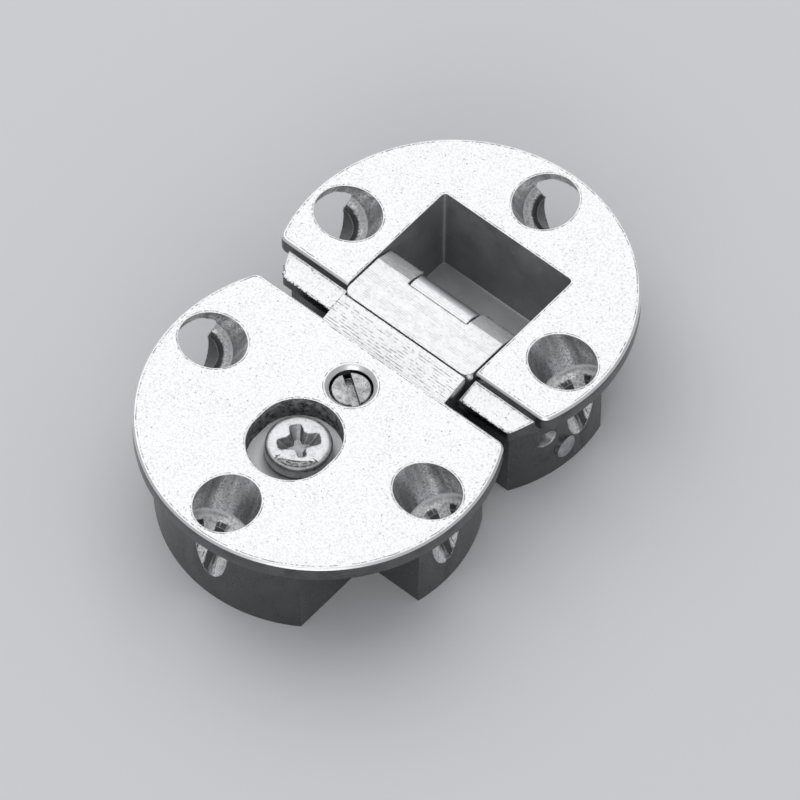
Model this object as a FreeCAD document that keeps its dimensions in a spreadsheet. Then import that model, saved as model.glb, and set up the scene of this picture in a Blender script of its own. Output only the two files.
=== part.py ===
import FreeCAD, Part
import math
import os
import Sketcher

# Concealed flush hinge for a drop-front flap.
# Two round die-cast cups sit flush in bored panels. A split arm is clamped in the
# arm cup, and a tongue and a pair of side links carry it from two pins in the link cup.
# The model stands as the hinge lies when open: both cup faces up, +X along the pivots,
# +Y from the arm cup to the link cup, +Z up, origin under the middle of the pair.

# Driving dimensions

SIZES = [
    ("cup_pitch", 19.5, "between the two cup centres with the hinge open"),
    ("cup_height", 12.2, "from the flush face to the foot of a cup"),
    ("flange_radius", 17.5, "flush face, for a 35 mm boring"),
    ("flange_thickness", 1.7, "thickness of the flush face"),
    ("flange_corner", 1.1, "rounding where the flange's arc meets its chord"),
    ("edge_bevel", 0.2, "bevel along the flange's upper edge"),
    ("flange_overhang", 1.9, "flange's rim beyond the round body under it"),
    ("arm_cup_chord", 8.75, "arm cup centre to its flange's straight edge"),
    ("arm_core_chord", 7.5, "arm cup centre to its body's straight side"),
    ("link_cup_chord", 6.35, "link cup centre to its flange's straight edge"),
    ("ledge_chord", 8.75, "link cup centre to the outer edge of the ledge beside the well"),
    ("ledge_drop", 1.15, "flush face to the ledge, at the flange"),
    ("ledge_fall", 0.6, "further fall of the ledge to its outer edge"),
    ("lip_overhang", 0.8, "ledge's rim beyond the body under it"),
    ("lip_depth", 2.85, "flush face to the underside of the ledge's lip"),
    ("lip_back", 4.6, "link cup centre to the back of the lip, under the flange"),
    ("lip_corner", 0.5, "rounding of the lip's outer corners"),
    ("relief_wall", 0.9, "wall left between the well and a cored relief"),
    ("relief_start", 3.5, "cup centre to the side where the relief starts"),
    ("screw_inset", 4.3, "flange's rim to a fixing screw's axis at the flush face"),
    ("screw_tilt_angle", 27.0, "lean of the fixing screws away from the cup's axis, in degrees"),
    ("screw_head_radius", 3.05, "bore for a fixing screw's head"),
    ("screw_head_depth", 3.1, "depth of that bore along its axis"),
    ("screw_seat_depth", 0.9, "depth of the conical seat below it"),
    ("screw_hole_radius", 1.95, "bore for a fixing screw's shank"),
    ("screw_step_angle", 90.0, "angle from one fixing screw to the next, in degrees"),
    ("well_back", 7.8, "link cup centre to the back wall of the well"),
    ("well_floor", 1.2, "thickness of the floor under the well"),
    ("well_corner", 0.45, "rounding of the well's upright corners"),
    ("well_gap", 0.2, "side clearance between the fork block and the well"),
    ("channel_gap", 0.3, "side clearance between the arm and the arm cup's channel"),
    ("tail_gap", 0.8, "between the arm's tail and the end of the channel"),
    ("roof_gap", 0.1, "between the arm's sloping top and the channel's roof"),
    ("seam_back", 7.25, "link cup centre to the seam between arm and fork block"),
    ("seam_gap", 0.12, "width of that seam"),
    ("arm_half_width", 7.5, "centre line to a side of the arm"),
    ("arm_slope_angle", 15.6, "fall of the arm's top towards its tail, in degrees"),
    ("arm_tail", 8.4, "arm cup centre to the arm's tail"),
    ("arm_tail_height", 3.3, "foot of the cup to the tail's underside"),
    ("arm_neck_depth", 4.6, "flush face to the underside of the arm's neck"),
    ("leg_front", 2.2, "arm pin to the leg's front"),
    ("leg_back", 4.1, "arm pin to the leg's back"),
    ("leg_foot", 1.9, "arm pin to the leg's foot"),
    ("spigot_length", 2.6, "spigot of the arm inside the fork block"),
    ("spigot_half_width", 3.4, "centre line to a side of the spigot"),
    ("spigot_web", 0.25, "spigot's material above and below its pin"),
    ("spigot_floor", 0.7, "spigot's underside to the fork block's underside"),
    ("spigot_gap", 0.1, "clearance round the spigot"),
    ("block_overhang", 0.2, "fork block's side beyond the arm's side"),
    ("block_link_gap", 0.25, "between the fork block's underside and the side links' eyes"),
    ("block_corner", 1.0, "rounding of the fork block's upright corners at the seam"),
    ("nose_reach", 1.65, "knuckle pin to the front of the fork block's ears"),
    ("bevel_start", 0.2, "knuckle pin back to where the ears' bevel starts"),
    ("bevel_drop", 0.62, "fall of that bevel"),
    ("knuckle_radius", 1.9, "rounded head of the tongue"),
    ("knuckle_gap", 0.18, "between the knuckle and its seat in the fork block"),
    ("tongue_half_width", 3.5, "centre line to a side of the tongue"),
    ("fork_gap", 0.14, "side clearance between tongue, links and ears"),
    ("knuckle_back", 1.95, "link cup centre to the knuckle's pin"),
    ("knuckle_depth", 2.0, "flush face to the knuckle's pin"),
    ("tongue_pin_back", 2.1, "link cup centre to the tongue's pin"),
    ("tongue_eye_radius", 1.7, "eye of the tongue on its cup pin"),
    ("tongue_eye_gap", 0.1, "between that eye and the well's floor"),
    ("tongue_front", 0.95, "tongue's centre line to the side that faces the link pin"),
    ("tongue_rear", 1.5, "tongue's centre line to its other side"),
    ("link_pin_back", 4.3, "link cup centre to the side links' pin"),
    ("link_pin_depth", 6.25, "flush face to the side links' pin"),
    ("link_length", 9.7, "between the side links' two pins"),
    ("arm_pin_height", 2.3, "foot of the cup to the pin in the arm's leg"),
    ("link_thickness", 1.4, "thickness of a side link"),
    ("link_half_height", 1.25, "half the height of a side link's waist"),
    ("link_eye_radius", 1.7, "eye of a side link on its cup pin"),
    ("slot_travel", 1.25, "length that a side link's slot adds to its width"),
    ("slot_offset", 0.245, "side link's centre line to the middle of the slot"),
    ("slot_play", 0.37, "clearance of the arm pin in that slot"),
    ("slot_wall", 0.6, "material round the slot"),
    ("pin_radius", 1.0, "link pin and knuckle pin"),
    ("tongue_pin_radius", 1.2, "pin that carries the tongue"),
    ("arm_pin_radius", 0.8, "pin in the arm's leg"),
    ("block_pin_radius", 0.75, "pin that ties the fork block to the arm's spigot"),
    ("pin_run", 0.05, "running clearance of a piece that turns on a pin"),
    ("pin_seat", 0.015, "clearance of a pin in the holes that hold it"),
    ("pin_bevel", 0.2, "bevel on a pin's ends"),
    ("link_pin_recess", 0.7, "end of the link pin inside the cup's round side"),
    ("tongue_pin_proud", 0.35, "end of the tongue's pin outside the cup's round side"),
    ("clamp_back", 3.0, "arm cup centre to the clamping screw"),
    ("clamp_shift", 0.6, "half the length that the clamping screw's slot adds"),
    ("clamp_head_radius", 3.2, "head of the clamping screw"),
    ("clamp_head_room", 1.0, "between that head and the side of its pocket"),
    ("clamp_pocket_depth", 2.7, "depth of the pocket"),
    ("clamp_head_top", 1.0, "flush face to the top of that head"),
    ("clamp_head_dome", 0.3, "height of the head's rounded crown"),
    ("clamp_head_gap", 0.15, "between that head and the pocket's floor"),
    ("clamp_radius", 1.95, "shank of the clamping screw"),
    ("clamp_slot_room", 0.3, "between that shank and the side of its slot"),
    ("clamp_tip_height", 0.5, "underside of the arm's tail to the end of the clamping screw"),
    ("thread_gap", 0.05, "clearance of a screw in its tapped hole"),
    ("cross_length", 4.1, "cross recess from tip to tip"),
    ("cross_width", 0.85, "width of the cross recess's wings"),
    ("cross_depth", 1.2, "depth of the cross recess"),
    ("cross_angle", -38.0, "direction of the cross recess, in degrees"),
    ("height_reach", 4.5, "arm cup centre to the height screw"),
    ("height_radius", 2.05, "height screw"),
    ("height_top", 0.45, "flush face to the top of the height screw"),
    ("height_end", 4.3, "flush face to the end of the height screw"),
    ("height_bevel", 0.4, "bevel at the mouth of the height screw's hole"),
    ("height_slot_width", 0.8, "width of the height screw's slot"),
    ("height_slot_depth", 0.9, "depth of that slot"),
    ("height_slot_angle", -35.0, "direction of that slot, in degrees"),
    ("bearing_room", 0.35, "between the height screw and the side of the arm's recess"),
    ("bearing_gap", 0.2, "between the end of that screw and the recess's floor"),
    ("bearing_travel", 0.6, "half the length that the recess adds to its width"),
]

doc = FreeCAD.newDocument("flush_flap_hinge")
sheet = doc.addObject("Spreadsheet::Sheet", "sizes")
for row, (alias, number, meaning) in enumerate(SIZES, start=1):
    sheet.set(f"A{row}", alias)
    sheet.set(f"B{row}", str(number))
    sheet.setAlias(f"B{row}", alias)
    sheet.set(f"C{row}", meaning)
doc.recompute()


# Measures: a number kept together with the formula on the sheet that gives it


class Measure:
    def __init__(self, number, formula):
        self.number = number
        self.formula = formula

    def __add__(self, other):
        other = measure(other)
        return Measure(self.number + other.number, f"({self.formula} + {other.formula})")

    def __sub__(self, other):
        other = measure(other)
        return Measure(self.number - other.number, f"({self.formula} - {other.formula})")

    def __mul__(self, other):
        other = measure(other)
        return Measure(self.number * other.number, f"({self.formula} * {other.formula})")

    def __truediv__(self, other):
        other = measure(other)
        return Measure(self.number / other.number, f"({self.formula} / {other.formula})")

    def __neg__(self):
        return Measure(-self.number, f"(0 - {self.formula})")


def measure(thing):
    return thing if isinstance(thing, Measure) else Measure(thing, str(thing))


def size(alias):
    return Measure(float(sheet.get(alias)), f"sizes.{alias}")


def tangent(angle):
    return Measure(math.tan(math.radians(angle.number)), f"tan({angle.formula})")


def root(value):
    return Measure(math.sqrt(value.number), f"sqrt({value.formula})")


def direction(along, up, half_turns=0):
    """The angle of a line that runs along y and up z, in degrees, plus so many half turns."""
    rise = up / along
    angle = math.degrees(math.atan(rise.number)) + half_turns * 180
    return Measure(angle, f"({half_turns} * 180 deg + atan({rise.formula}))")


# Bodies and sketches

ORIGIN = FreeCAD.Vector(0, 0, 0)
NORMAL = FreeCAD.Vector(0, 0, 1)
START, END, CENTRE = 1, 2, 3
ORIGIN_POINT = (-1, 1)
CLEAR = 5.0  # how far a cut runs past the material it leaves
ZERO = Measure(0.0, "0")


def origin_feature(body, role):
    return next(item for item in body.Origin.OriginFeatures if item.Role == role)


def new_body(label):
    body = doc.addObject("PartDesign::Body", label)
    body.Label = label
    return body


def place(body, y, z, turn=None, axis=None):
    body.Placement = FreeCAD.Placement(ORIGIN, FreeCAD.Rotation(axis or NORMAL, 0))
    body.setExpression("Placement.Base.y", y.formula)
    body.setExpression("Placement.Base.z", z.formula)
    if turn is not None:
        body.Placement = FreeCAD.Placement(
            FreeCAD.Vector(0, y.number, z.number), FreeCAD.Rotation(axis, turn.number)
        )
        body.setExpression("Placement.Rotation.Angle", turn.formula)


def new_sketch(body, name, plane, height=None, shift=None, turn=None):
    sketch = body.newObject("Sketcher::SketchObject", f"{body.Name}_{name}")
    sketch.AttachmentSupport = [(origin_feature(body, plane), "")]
    sketch.MapMode = "FlatFace"
    if turn is not None:
        sketch.AttachmentOffset = FreeCAD.Placement(
            ORIGIN, FreeCAD.Rotation(NORMAL, turn.number)
        )
        sketch.setExpression("AttachmentOffset.Rotation.Angle", turn.formula)
    if height is not None:
        sketch.setExpression("AttachmentOffset.Base.z", height.formula)
    if shift is not None:
        sketch.setExpression("AttachmentOffset.Base.x", shift[0].formula)
        sketch.setExpression("AttachmentOffset.Base.y", shift[1].formula)
    return sketch


def bind(sketch, kind, *where, value):
    index = sketch.addConstraint(Sketcher.Constraint(kind, *where, value.number))
    sketch.setExpression(f"Constraints[{index}]", value.formula)


def pin_point(sketch, geometry, position, x, y):
    bind(sketch, "DistanceX", geometry, position, value=x)
    bind(sketch, "DistanceY", geometry, position, value=y)


def draw_polygon(sketch, points):
    corners = [FreeCAD.Vector(x.number, y.number, 0) for x, y in points]
    first = sketch.GeometryCount
    count = len(corners)
    for i in range(count):
        sketch.addGeometry(Part.LineSegment(corners[i], corners[(i + 1) % count]))
    for i in range(count):
        following = first + (i + 1) % count
        sketch.addConstraint(Sketcher.Constraint("Coincident", first + i, END, following, START))
    for i, (x, y) in enumerate(points):
        pin_point(sketch, first + i, START, measure(x), measure(y))


def draw_rectangle(sketch, x_low, x_high, y_low, y_high):
    draw_polygon(sketch, [(x_low, y_low), (x_high, y_low), (x_high, y_high), (x_low, y_high)])


def draw_circle(sketch, x, y, radius):
    centre = FreeCAD.Vector(x.number, y.number, 0)
    index = sketch.addGeometry(Part.Circle(centre, NORMAL, radius.number))
    pin_point(sketch, index, CENTRE, x, y)
    bind(sketch, "Radius", index, value=radius)


def draw_cut_disc(sketch, radius, chord):
    """A disc on the origin, cut straight at -chord."""
    dip = math.asin(chord.number / radius.number)
    circle = Part.Circle(ORIGIN, NORMAL, radius.number)
    arc = sketch.addGeometry(Part.ArcOfCircle(circle, -dip, math.pi + dip))
    reach = math.sqrt(radius.number**2 - chord.number**2)
    left = FreeCAD.Vector(-reach, -chord.number, 0)
    right = FreeCAD.Vector(reach, -chord.number, 0)
    line = sketch.addGeometry(Part.LineSegment(left, right))
    sketch.addConstraint(Sketcher.Constraint("Coincident", arc, CENTRE, *ORIGIN_POINT))
    sketch.addConstraint(Sketcher.Constraint("Coincident", arc, END, line, START))
    sketch.addConstraint(Sketcher.Constraint("Coincident", arc, START, line, END))
    sketch.addConstraint(Sketcher.Constraint("Horizontal", line))
    bind(sketch, "Radius", arc, value=radius)
    bind(sketch, "DistanceY", line, START, value=-chord)


def draw_band(sketch, radius, y_low, y_high):
    """The part of a disc on the origin that lies between y_low and y_high."""
    low, high = (math.asin(y.number / radius.number) for y in (y_low, y_high))
    circle = Part.Circle(ORIGIN, NORMAL, radius.number)
    right = sketch.addGeometry(Part.ArcOfCircle(circle, low, high))
    left = sketch.addGeometry(Part.ArcOfCircle(circle, math.pi - high, math.pi - low))
    corners = [
        FreeCAD.Vector(side * radius.number * math.cos(angle), radius.number * math.sin(angle), 0)
        for side, angle in ((1, high), (-1, high), (-1, low), (1, low))
    ]
    top = sketch.addGeometry(Part.LineSegment(corners[0], corners[1]))
    foot = sketch.addGeometry(Part.LineSegment(corners[2], corners[3]))
    for one, at, other, to in (
        (right, END, top, START),
        (top, END, left, START),
        (left, END, foot, START),
        (foot, END, right, START),
    ):
        sketch.addConstraint(Sketcher.Constraint("Coincident", one, at, other, to))
    for arc in (right, left):
        sketch.addConstraint(Sketcher.Constraint("Coincident", arc, CENTRE, *ORIGIN_POINT))
        bind(sketch, "Radius", arc, value=radius)
    for line, height in ((top, y_high), (foot, y_low)):
        sketch.addConstraint(Sketcher.Constraint("Horizontal", line))
        bind(sketch, "DistanceY", line, START, value=height)


def draw_slot(sketch, x, y_low, y_high, radius):
    """A slot along the sketch's y, with a round end about (x, y_low) and (x, y_high)."""
    ends = []
    for y, first, last in ((y_high, 0, math.pi), (y_low, math.pi, 2 * math.pi)):
        circle = Part.Circle(FreeCAD.Vector(x.number, y.number, 0), NORMAL, radius.number)
        ends.append(sketch.addGeometry(Part.ArcOfCircle(circle, first, last)))
    upper, lower = ends
    left, right = x - radius, x + radius
    corners = [(left, y_high), (left, y_low), (right, y_low), (right, y_high)]
    points = [FreeCAD.Vector(a.number, b.number, 0) for a, b in corners]
    down = sketch.addGeometry(Part.LineSegment(points[0], points[1]))
    back = sketch.addGeometry(Part.LineSegment(points[2], points[3]))
    for one, at, other, to in (
        (upper, END, down, START),
        (down, END, lower, START),
        (lower, END, back, START),
        (back, END, upper, START),
    ):
        sketch.addConstraint(Sketcher.Constraint("Coincident", one, at, other, to))
    pin_point(sketch, down, START, *corners[0])
    pin_point(sketch, down, END, *corners[1])
    pin_point(sketch, back, START, *corners[2])
    pin_point(sketch, back, END, *corners[3])
    bind(sketch, "DistanceY", upper, CENTRE, value=y_high)
    bind(sketch, "DistanceY", lower, CENTRE, value=y_low)


# Features


def add_feature(body, kind, name, profile=None):
    feature = body.newObject(f"PartDesign::{kind}", f"{body.Name}_{name}")
    if profile is not None:
        feature.Profile = profile
        profile.Visibility = False
    return feature


def pad(body, name, sketch, length, reverse=False, both_ways=False):
    feature = add_feature(body, "Pad", name, sketch)
    feature.Length = length.number
    feature.setExpression("Length", length.formula)
    feature.Reversed = reverse
    feature.SideType = "Symmetric" if both_ways else "One side"
    doc.recompute()
    return feature


def pocket(body, name, sketch, depth=None, both_ways=False, reverse=False):
    before = body.Shape.Volume
    feature = add_feature(body, "Pocket", name, sketch)
    if depth is None:
        feature.Type = "ThroughAll"
    else:
        feature.Length = depth.number
        feature.setExpression("Length", depth.formula)
    feature.Reversed = reverse
    feature.SideType = "Symmetric" if both_ways else "One side"
    doc.recompute()
    if not body.Shape.Volume < before:
        raise ValueError(f"{feature.Name} cuts nothing")
    return feature


def soften(body, kind, name, value, wanted):
    """A fillet or chamfer on each edge of the body that wanted() picks."""
    tip = body.Tip
    edges = [f"Edge{i}" for i, edge in enumerate(tip.Shape.Edges, start=1) if wanted(edge)]
    if not edges:
        raise ValueError(f"{body.Name}_{name} has no edge")
    feature = add_feature(body, kind, name)
    feature.Base = (tip, edges)
    target = "Radius" if kind == "Fillet" else "Size"
    setattr(feature, target, value.number)
    feature.setExpression(target, value.formula)
    doc.recompute()
    return feature


def near(one, other):
    return abs(one - other) < 1e-4


def is_upright(edge):
    low, high = edge.Vertexes[0].Point, edge.Vertexes[-1].Point
    return near(low.x, high.x) and near(low.y, high.y) and not near(low.z, high.z)


def is_in_plane(edge, height):
    box = edge.BoundBox
    return near(box.ZMin, height) and near(box.ZMax, height)


# Places that more than one piece shares

TOP = size("cup_height")
LINK_CUP_Y = size("cup_pitch") / 2
ARM_CUP_Y = -LINK_CUP_Y
SEAM_Y = LINK_CUP_Y - size("seam_back")

TONGUE_PIN = (
    LINK_CUP_Y - size("tongue_pin_back"),
    size("well_floor") + size("tongue_eye_gap") + size("tongue_eye_radius"),
)
KNUCKLE_PIN = (LINK_CUP_Y - size("knuckle_back"), TOP - size("knuckle_depth"))
TONGUE_RUN = (KNUCKLE_PIN[0] - TONGUE_PIN[0], KNUCKLE_PIN[1] - TONGUE_PIN[1])
TONGUE_LENGTH = root(TONGUE_RUN[0] * TONGUE_RUN[0] + TONGUE_RUN[1] * TONGUE_RUN[1])

LINK_PIN = (LINK_CUP_Y - size("link_pin_back"), TOP - size("link_pin_depth"))
LINK_RISE = size("arm_pin_height") - LINK_PIN[1]
LINK_RUN = -root(size("link_length") * size("link_length") - LINK_RISE * LINK_RISE)
ARM_PIN = (LINK_PIN[0] + LINK_RUN, size("arm_pin_height"))

BLOCK_FOOT = LINK_PIN[1] + size("link_eye_radius") + size("block_link_gap")
SPIGOT_FOOT = BLOCK_FOOT + size("spigot_floor")
SPIGOT_TOP = SPIGOT_FOOT + (size("block_pin_radius") + size("spigot_web")) * 2
BLOCK_PIN = (SEAM_Y + size("spigot_length") / 2, (SPIGOT_TOP + SPIGOT_FOOT) / 2)
CLAMP_Y = ARM_CUP_Y - size("clamp_back")
HEIGHT_Y = ARM_CUP_Y + size("height_reach")
LINK_INNER = size("tongue_half_width") + size("fork_gap") * 2
LINK_OUTER = LINK_INNER + size("link_thickness")

BLOCK_HALF_WIDTH = size("arm_half_width") + size("block_overhang")
WELL_HALF_WIDTH = BLOCK_HALF_WIDTH + size("well_gap")
TAIL_FOOT = size("arm_tail_height")
CORE_RADIUS = size("flange_radius") - size("flange_overhang")


def arm_top(distance):
    """Height of the arm's sloping top, below the flush face, behind the seam."""
    return -(distance * tangent(size("arm_slope_angle")))


# Cups: each is drawn about its own centre, flush face at z = 0, hinge side at -y


def add_ledge(cup):
    """A lip round the straight side, cut to a ledge that falls away from the flange."""
    chord = size("ledge_chord")
    lip = new_sketch(cup, "lip_outline", "XY_Plane")
    draw_band(lip, CORE_RADIUS + size("lip_overhang"), -chord, -size("lip_back"))
    pad(cup, "lip", lip, size("lip_depth"), reverse=True)
    soften(
        cup,
        "Fillet",
        "lip_corners",
        size("lip_corner"),
        lambda edge: is_upright(edge) and near(edge.Vertexes[0].Y, -chord.number),
    )
    edge = -size("link_cup_chord")
    drop = size("ledge_drop")
    fall = size("ledge_fall")
    beyond = (chord + edge) * 2
    ledge = new_sketch(cup, "ledge_section", "YZ_Plane")
    draw_polygon(
        ledge,
        [
            (edge, measure(CLEAR)),
            (edge, -drop),
            (edge - beyond, -(drop + fall * 2)),
            (edge - beyond, measure(CLEAR)),
        ],
    )
    pocket(cup, "ledge", ledge, both_ways=True)


def build_cup(label, y, turn, flange_chord, core_chord, relief_side, with_ledge=False):
    cup = new_body(label)
    place(cup, y, TOP, measure(turn), NORMAL)

    outline = new_sketch(cup, "core_outline", "XY_Plane")
    draw_cut_disc(outline, CORE_RADIUS, core_chord)
    pad(cup, "core", outline, TOP, reverse=True)
    if with_ledge:
        add_ledge(cup)

    outline = new_sketch(cup, "flange_outline", "XY_Plane")
    draw_cut_disc(outline, size("flange_radius"), flange_chord)
    pad(cup, "flange", outline, size("flange_thickness"), reverse=True)

    radius = size("flange_radius").number
    soften(
        cup,
        "Fillet",
        "flange_corners",
        size("flange_corner"),
        lambda edge: is_upright(edge)
        and near(math.hypot(edge.Vertexes[0].X, edge.Vertexes[0].Y), radius)
        and near(edge.Vertexes[0].Y, -flange_chord.number),
    )
    soften(
        cup, "Chamfer", "upper_edge", size("edge_bevel"), lambda edge: is_in_plane(edge, 0.0)
    )

    relief = new_sketch(cup, "relief_plan", "XY_Plane", height=-size("flange_thickness"))
    wall = (WELL_HALF_WIDTH + size("relief_wall")) * relief_side
    outside = size("flange_radius") * relief_side
    draw_rectangle(relief, wall, outside, size("relief_start"), size("flange_radius"))
    pocket(cup, "relief", relief)
    return cup


def bore_screw_holes(cup):
    """Three leaning screw holes, each bored for its head, with a conical seat."""
    section = new_sketch(
        cup,
        "screw_section",
        "XZ_Plane",
        shift=(size("flange_radius") - size("screw_inset"), ZERO),
        turn=size("screw_tilt_angle"),
    )
    head = size("screw_head_radius")
    hole = size("screw_hole_radius")
    seat = size("screw_head_depth")
    neck = seat + size("screw_seat_depth")
    draw_polygon(
        section,
        [
            (ZERO, head),
            (head, head),
            (head, -seat),
            (hole, -neck),
            (hole, -size("cup_height")),
            (ZERO, -size("cup_height")),
        ],
    )
    before = cup.Shape.Volume
    groove = add_feature(cup, "Groove", "screw_hole", section)
    groove.ReferenceAxis = (section, ["V_Axis"])
    groove.Angle = 360
    doc.recompute()
    one_hole = before - cup.Shape.Volume
    pattern = add_feature(cup, "PolarPattern", "screw_holes")
    pattern.Originals = [groove]
    pattern.Axis = (origin_feature(cup, "Z_Axis"), [""])
    pattern.Mode = "Spacing"
    pattern.Offset = size("screw_step_angle").number
    pattern.setExpression("Offset", size("screw_step_angle").formula)
    pattern.Occurrences = 3
    cup.Tip = pattern
    doc.recompute()
    if not before - cup.Shape.Volume > one_hole * 2:
        raise ValueError(f"{cup.Name} lacks a screw hole")


def build_link_cup():
    cup = build_cup(
        "link_cup",
        LINK_CUP_Y,
        0,
        size("link_cup_chord"),
        size("ledge_chord") - size("lip_overhang"),
        1,
        with_ledge=True,
    )
    well = new_sketch(cup, "well_plan", "XY_Plane")
    draw_rectangle(
        well, -WELL_HALF_WIDTH, WELL_HALF_WIDTH, -size("flange_radius"), size("well_back")
    )
    pocket(cup, "well", well, TOP - size("well_floor"))
    back = size("well_back").number
    soften(
        cup,
        "Fillet",
        "well_corners",
        size("well_corner"),
        lambda edge: is_upright(edge)
        and near(abs(edge.Vertexes[0].X), WELL_HALF_WIDTH.number)
        and near(edge.Vertexes[0].Y, back),
    )
    bore_screw_holes(cup)
    for name, spot, radius in (
        ("tongue_pin", TONGUE_PIN, "tongue_pin_radius"),
        ("link_pin", LINK_PIN, "pin_radius"),
    ):
        bore = new_sketch(cup, f"{name}_bore", "YZ_Plane")
        draw_circle(bore, spot[0] - LINK_CUP_Y, spot[1] - TOP, size(radius) + size("pin_seat"))
        pocket(cup, f"{name}_hole", bore, both_ways=True)
    return cup


def build_arm_cup():
    cup = build_cup(
        "arm_cup", ARM_CUP_Y, 180, size("arm_cup_chord"), size("arm_core_chord"), -1
    )
    seam = size("cup_pitch") - size("seam_back")
    mouth = -size("flange_radius")
    back = size("arm_tail") + size("tail_gap")
    section = new_sketch(cup, "channel_section", "YZ_Plane")
    foot = -(size("cup_height") + CLEAR)
    draw_polygon(
        section,
        [
            (mouth, arm_top(seam + mouth) + size("roof_gap")),
            (back, arm_top(seam + back) + size("roof_gap")),
            (back, foot),
            (mouth, foot),
        ],
    )
    width = (size("arm_half_width") + size("channel_gap")) * 2
    pocket(cup, "channel", section, width, both_ways=True)
    bore_screw_holes(cup)

    low = size("clamp_back")
    high = low + size("clamp_shift") * 2
    plan = new_sketch(cup, "clamp_pocket_plan", "XY_Plane")
    draw_slot(plan, ZERO, low, high, size("clamp_head_radius") + size("clamp_head_room"))
    pocket(cup, "clamp_pocket", plan, size("clamp_pocket_depth"))
    plan = new_sketch(cup, "clamp_slot_plan", "XY_Plane")
    shift = size("clamp_shift")
    draw_slot(plan, ZERO, low - shift, low + shift, size("clamp_radius") + size("clamp_slot_room"))
    pocket(cup, "clamp_slot", plan)

    plan = new_sketch(cup, "height_plan", "XY_Plane")
    bore = size("height_radius") + size("thread_gap")
    draw_circle(plan, ZERO, -size("height_reach"), bore)
    pocket(cup, "height_hole", plan)
    soften(
        cup,
        "Chamfer",
        "height_mouth",
        size("height_bevel"),
        lambda edge: is_in_plane(edge, 0.0)
        and near(edge.BoundBox.XLength, bore.number * 2)
        and near(edge.BoundBox.Center.x, 0.0),
    )
    return cup


# Arm: a wedge clamped under the arm cup's roof, with a leg for the side links


def build_arm():
    arm = new_body("arm")
    face = SEAM_Y - size("seam_gap")
    tail = ARM_CUP_Y - size("arm_tail")
    leg_front = ARM_PIN[0] + size("leg_front")
    leg_back = ARM_PIN[0] - size("leg_back")
    neck = TOP - size("arm_neck_depth")
    foot = ARM_PIN[1] - size("leg_foot")

    section = new_sketch(arm, "section", "YZ_Plane")
    draw_polygon(
        section,
        [
            (face, TOP + arm_top(SEAM_Y - face)),
            (tail, TOP + arm_top(SEAM_Y - tail)),
            (tail, TAIL_FOOT),
            (leg_back, TAIL_FOOT),
            (leg_back, foot),
            (leg_front, foot),
            (leg_front, neck),
            (face, neck),
        ],
    )
    pad(arm, "wedge", section, size("arm_half_width") * 2, both_ways=True)

    section = new_sketch(arm, "spigot_section", "YZ_Plane")
    draw_rectangle(section, face, SEAM_Y + size("spigot_length"), SPIGOT_FOOT, SPIGOT_TOP)
    pad(arm, "spigot", section, size("spigot_half_width") * 2, both_ways=True)

    plan = new_sketch(arm, "link_slot_plan", "XY_Plane", height=neck)
    inner = LINK_INNER - size("fork_gap")
    outer = LINK_OUTER + size("fork_gap")
    for low, high in ((inner, outer), (-outer, -inner)):
        draw_rectangle(plan, low, high, leg_back, SEAM_Y)
    pocket(arm, "link_slots", plan)

    for name, spot, radius in (
        ("arm_pin", ARM_PIN, "arm_pin_radius"),
        ("block_pin", BLOCK_PIN, "block_pin_radius"),
    ):
        bore = new_sketch(arm, f"{name}_bore", "YZ_Plane")
        draw_circle(bore, *spot, size(radius) + size("pin_seat"))
        pocket(arm, f"{name}_hole", bore, both_ways=True)

    plan = new_sketch(arm, "tapped_hole_plan", "XY_Plane", height=TOP)
    draw_circle(plan, ZERO, CLAMP_Y, size("clamp_radius") + size("thread_gap"))
    pocket(arm, "tapped_hole", plan)

    plan = new_sketch(arm, "bearing_plan", "XY_Plane", height=TOP)
    travel = size("bearing_travel")
    radius = size("height_radius") + size("bearing_room")
    draw_slot(plan, ZERO, HEIGHT_Y - travel, HEIGHT_Y + travel, radius)
    pocket(arm, "bearing", plan, size("height_end") + size("bearing_gap"))
    return arm


# Fork block: two bevelled ears round the tongue's knuckle, socketed on the arm


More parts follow.
